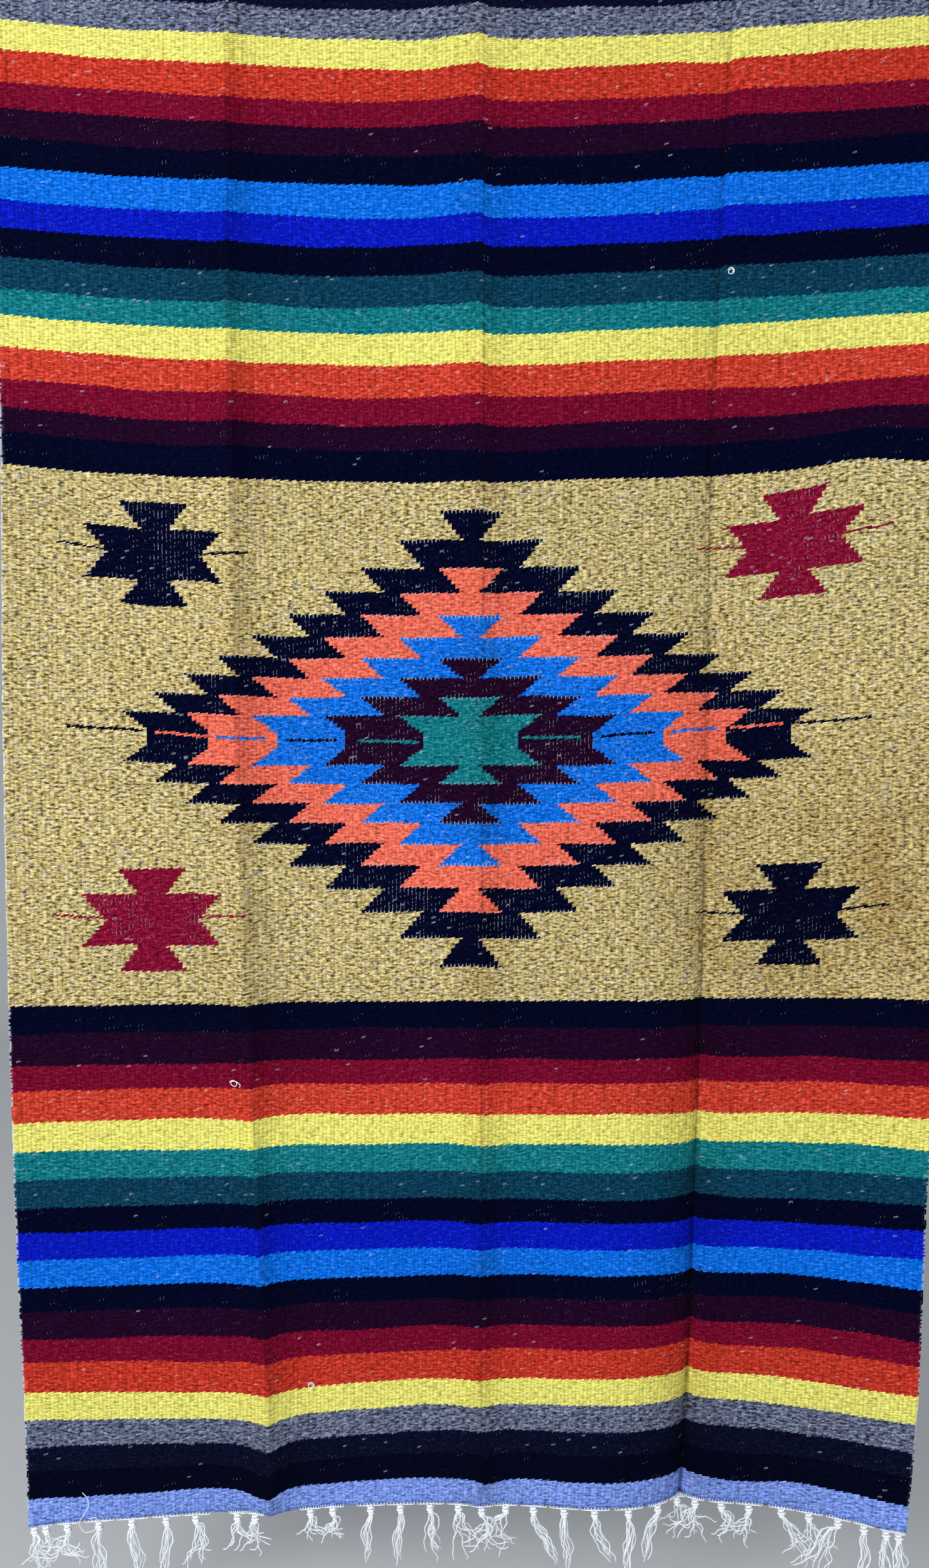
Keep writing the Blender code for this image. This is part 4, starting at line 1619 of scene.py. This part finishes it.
@dataclass
class Studio:
    """The pale floor and backdrop, the soft lights and the camera."""

    floor_height: float = -2.235
    floor_tone: Rgba = linear(196, 198, 200)
    focal_length: float = 26.68
    camera_place: tuple[float, float, float] = (-0.018, -1.51, -0.934)
    camera_pitch: float = 5.0
    sky_tint: Rgba = (0.90, 0.95, 1.0, 1.0)
    sky_strength: float = 0.55
    # Each light: place, what it looks at, size, watts.
    lights: ClassVar[tuple[tuple[Place, Place, float, float], ...]] = (
        ((-2.3, -2.2, -0.3), (0.0, 0.0, -1.1), 1.6, 78.0),
        ((1.6, -2.8, -0.2), (0.0, 0.0, -1.0), 2.4, 20.0),
        ((0.0, -2.4, -2.0), (0.0, 0.0, -1.6), 1.6, 10.0),
    )

    def floor(self) -> bpy.types.Object:
        """A floor that curves up into a backdrop: a line and a quarter circle carried along X.

        Returns:
            The floor.
        """
        turn = np.linspace(0.0, 0.5 * math.pi, 14)
        radius = 0.9
        y = np.concatenate(([-7.0], 2.6 + radius * np.sin(turn), [2.6 + radius]))
        z = np.concatenate(([0.0], radius * (1 - np.cos(turn)), [6.5])) + self.floor_height
        x = np.array((-7.0, 7.0))
        grid = np.stack(np.broadcast_arrays(x[:, None], y[None], z[None]), axis=-1)
        faces = grid_faces(2, len(y), turned=True)
        piece = add_piece("studio_floor", grid.reshape(-1, 3), faces, {})
        made, graph = new_material("studio_floor")
        shader = graph.tree.nodes["Principled BSDF"]
        shader.inputs["Base Color"].default_value = self.floor_tone
        shader.inputs["Roughness"].default_value = 0.9
        piece.data.materials.append(made)
        return piece

    def light(self) -> None:
        """Place the area lights and an even pale sky."""
        for index, (place, goal, size, watts) in enumerate(self.lights):
            data = bpy.data.lights.new(f"softbox_{index}", "AREA")
            data.shape = "DISK"
            data.size = size
            data.energy = watts
            lamp = bpy.data.objects.new(f"softbox_{index}", data)
            aim = np.array(goal) - np.array(place)
            flat = math.hypot(aim[0], aim[1])
            lamp.location = place
            lamp.rotation_euler = (math.atan2(flat, -aim[2]), 0.0, math.atan2(-aim[0], aim[1]))
            bpy.context.scene.collection.objects.link(lamp)
        world = bpy.data.worlds.new("studio_sky")
        world.use_nodes = True
        sky = world.node_tree.nodes["Background"]
        sky.inputs["Color"].default_value = self.sky_tint
        sky.inputs["Strength"].default_value = self.sky_strength
        bpy.context.scene.world = world

    def camera(self) -> None:
        """Look at the cloth from the photograph's place, pitched a little down."""
        data = bpy.data.cameras.new("camera")
        data.lens = self.focal_length
        data.sensor_width = 36.0
        data.clip_end = 50.0
        made = bpy.data.objects.new("camera", data)
        made.location = self.camera_place
        made.rotation_euler = (math.radians(90.0 - self.camera_pitch), 0.0, 0.0)
        bpy.context.scene.collection.objects.link(made)
        bpy.context.scene.camera = made
        bpy.context.scene.view_settings.view_transform = "Standard"


# Tassels of the bottom end: across, drift at the tip, length, curl from 0 to 1.
BOTTOM_TASSELS = (
    (-592, 16, 62, 0.75), (-577, 18, 60, 0.8), (-549, -8, 58, 0.7), (-508, -4, 82, 0.2),
    (-464, 6, 72, 0.2), (-418, -3, 74, 0.12), (-378, 4, 66, 0.5), (-321, 14, 44, 0.7),
    (-296, -8, 46, 0.7), (-220, 12, 42, 0.75), (-189, -12, 44, 0.7), (-136, -6, 68, 0.15),
    (-94, -4, 70, 0.12), (-52, 6, 66, 0.35), (-12, 18, 64, 0.6), (21, 4, 66, 0.7),
    (55, -22, 60, 0.6), (94, 24, 72, 0.3), (137, 4, 74, 0.15), (180, 22, 66, 0.3),
    (228, -2, 76, 0.15), (271, -16, 70, 0.25), (301, 12, 56, 0.8), (326, -4, 58, 0.8),
    (362, 24, 52, 0.75), (400, -26, 50, 0.75), (444, 26, 74, 0.45), (480, 8, 66, 0.6),
    (517, -28, 76, 0.45), (549, -2, 74, 0.1), (576, 8, 72, 0.3), (591, -4, 76, 0.35),
)
# The top end's tassels are drawn at random within a span each for drift, length and curl.
TOP_TASSEL_COUNT = 31
TOP_REACH = 588.0
TOP_SEED = 17
TOP_SPANS = ((-6, 6), (58, 72), (0.1, 0.3))


def dress(piece: bpy.types.Object, slot: str, *nodes: str) -> bpy.types.Object:
    """Let a piece ride on the root and stand for CAD nodes.

    Args:
        piece: The piece.
        slot: Its material slot. Not used.
        nodes: The CAD nodes it stands for.

    Returns:
        The same piece.
    """
    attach(piece, "root")
    if nodes:
        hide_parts(*nodes)
    LOG.info("%s: %d faces", piece.name, len(piece.data.polygons))
    return piece


def main() -> None:
    """Build the cloth, its fringes and threads, then the studio round them."""
    logging.basicConfig(level=logging.INFO, format="%(message)s")
    shape = HangingShape()
    cotton = CottonFinish()
    woven = BlanketCloth(shape, BlanketChart(ClothFinish())).build()
    cloth = dress(woven, "woven_cloth", "blanket_cloth")
    bottom = CottonFringe(
        shape, "bottom_knotted_fringe", shape.length, BOTTOM_TASSELS, behind=False, seed=41
    )
    bottom_piece = dress(bottom.build(cotton), "cotton_fringe", "bottom_fringe")
    places = np.linspace(-TOP_REACH, TOP_REACH, TOP_TASSEL_COUNT)
    random = np.random.RandomState(TOP_SEED)
    top_rows = [(place, *(random.uniform(*span) for span in TOP_SPANS)) for place in places]
    top = CottonFringe(shape, "top_knotted_fringe", 0.0, top_rows, behind=True, seed=42)
    top_piece = dress(top.build(cotton), "cotton_fringe", "top_fringe")
    threads = dress(LooseThreads(shape).build(cotton), "cotton_fringe")
    studio = Studio()
    studio.floor()
    studio.light()
    studio.camera()


if __name__ == "__main__":
    main()
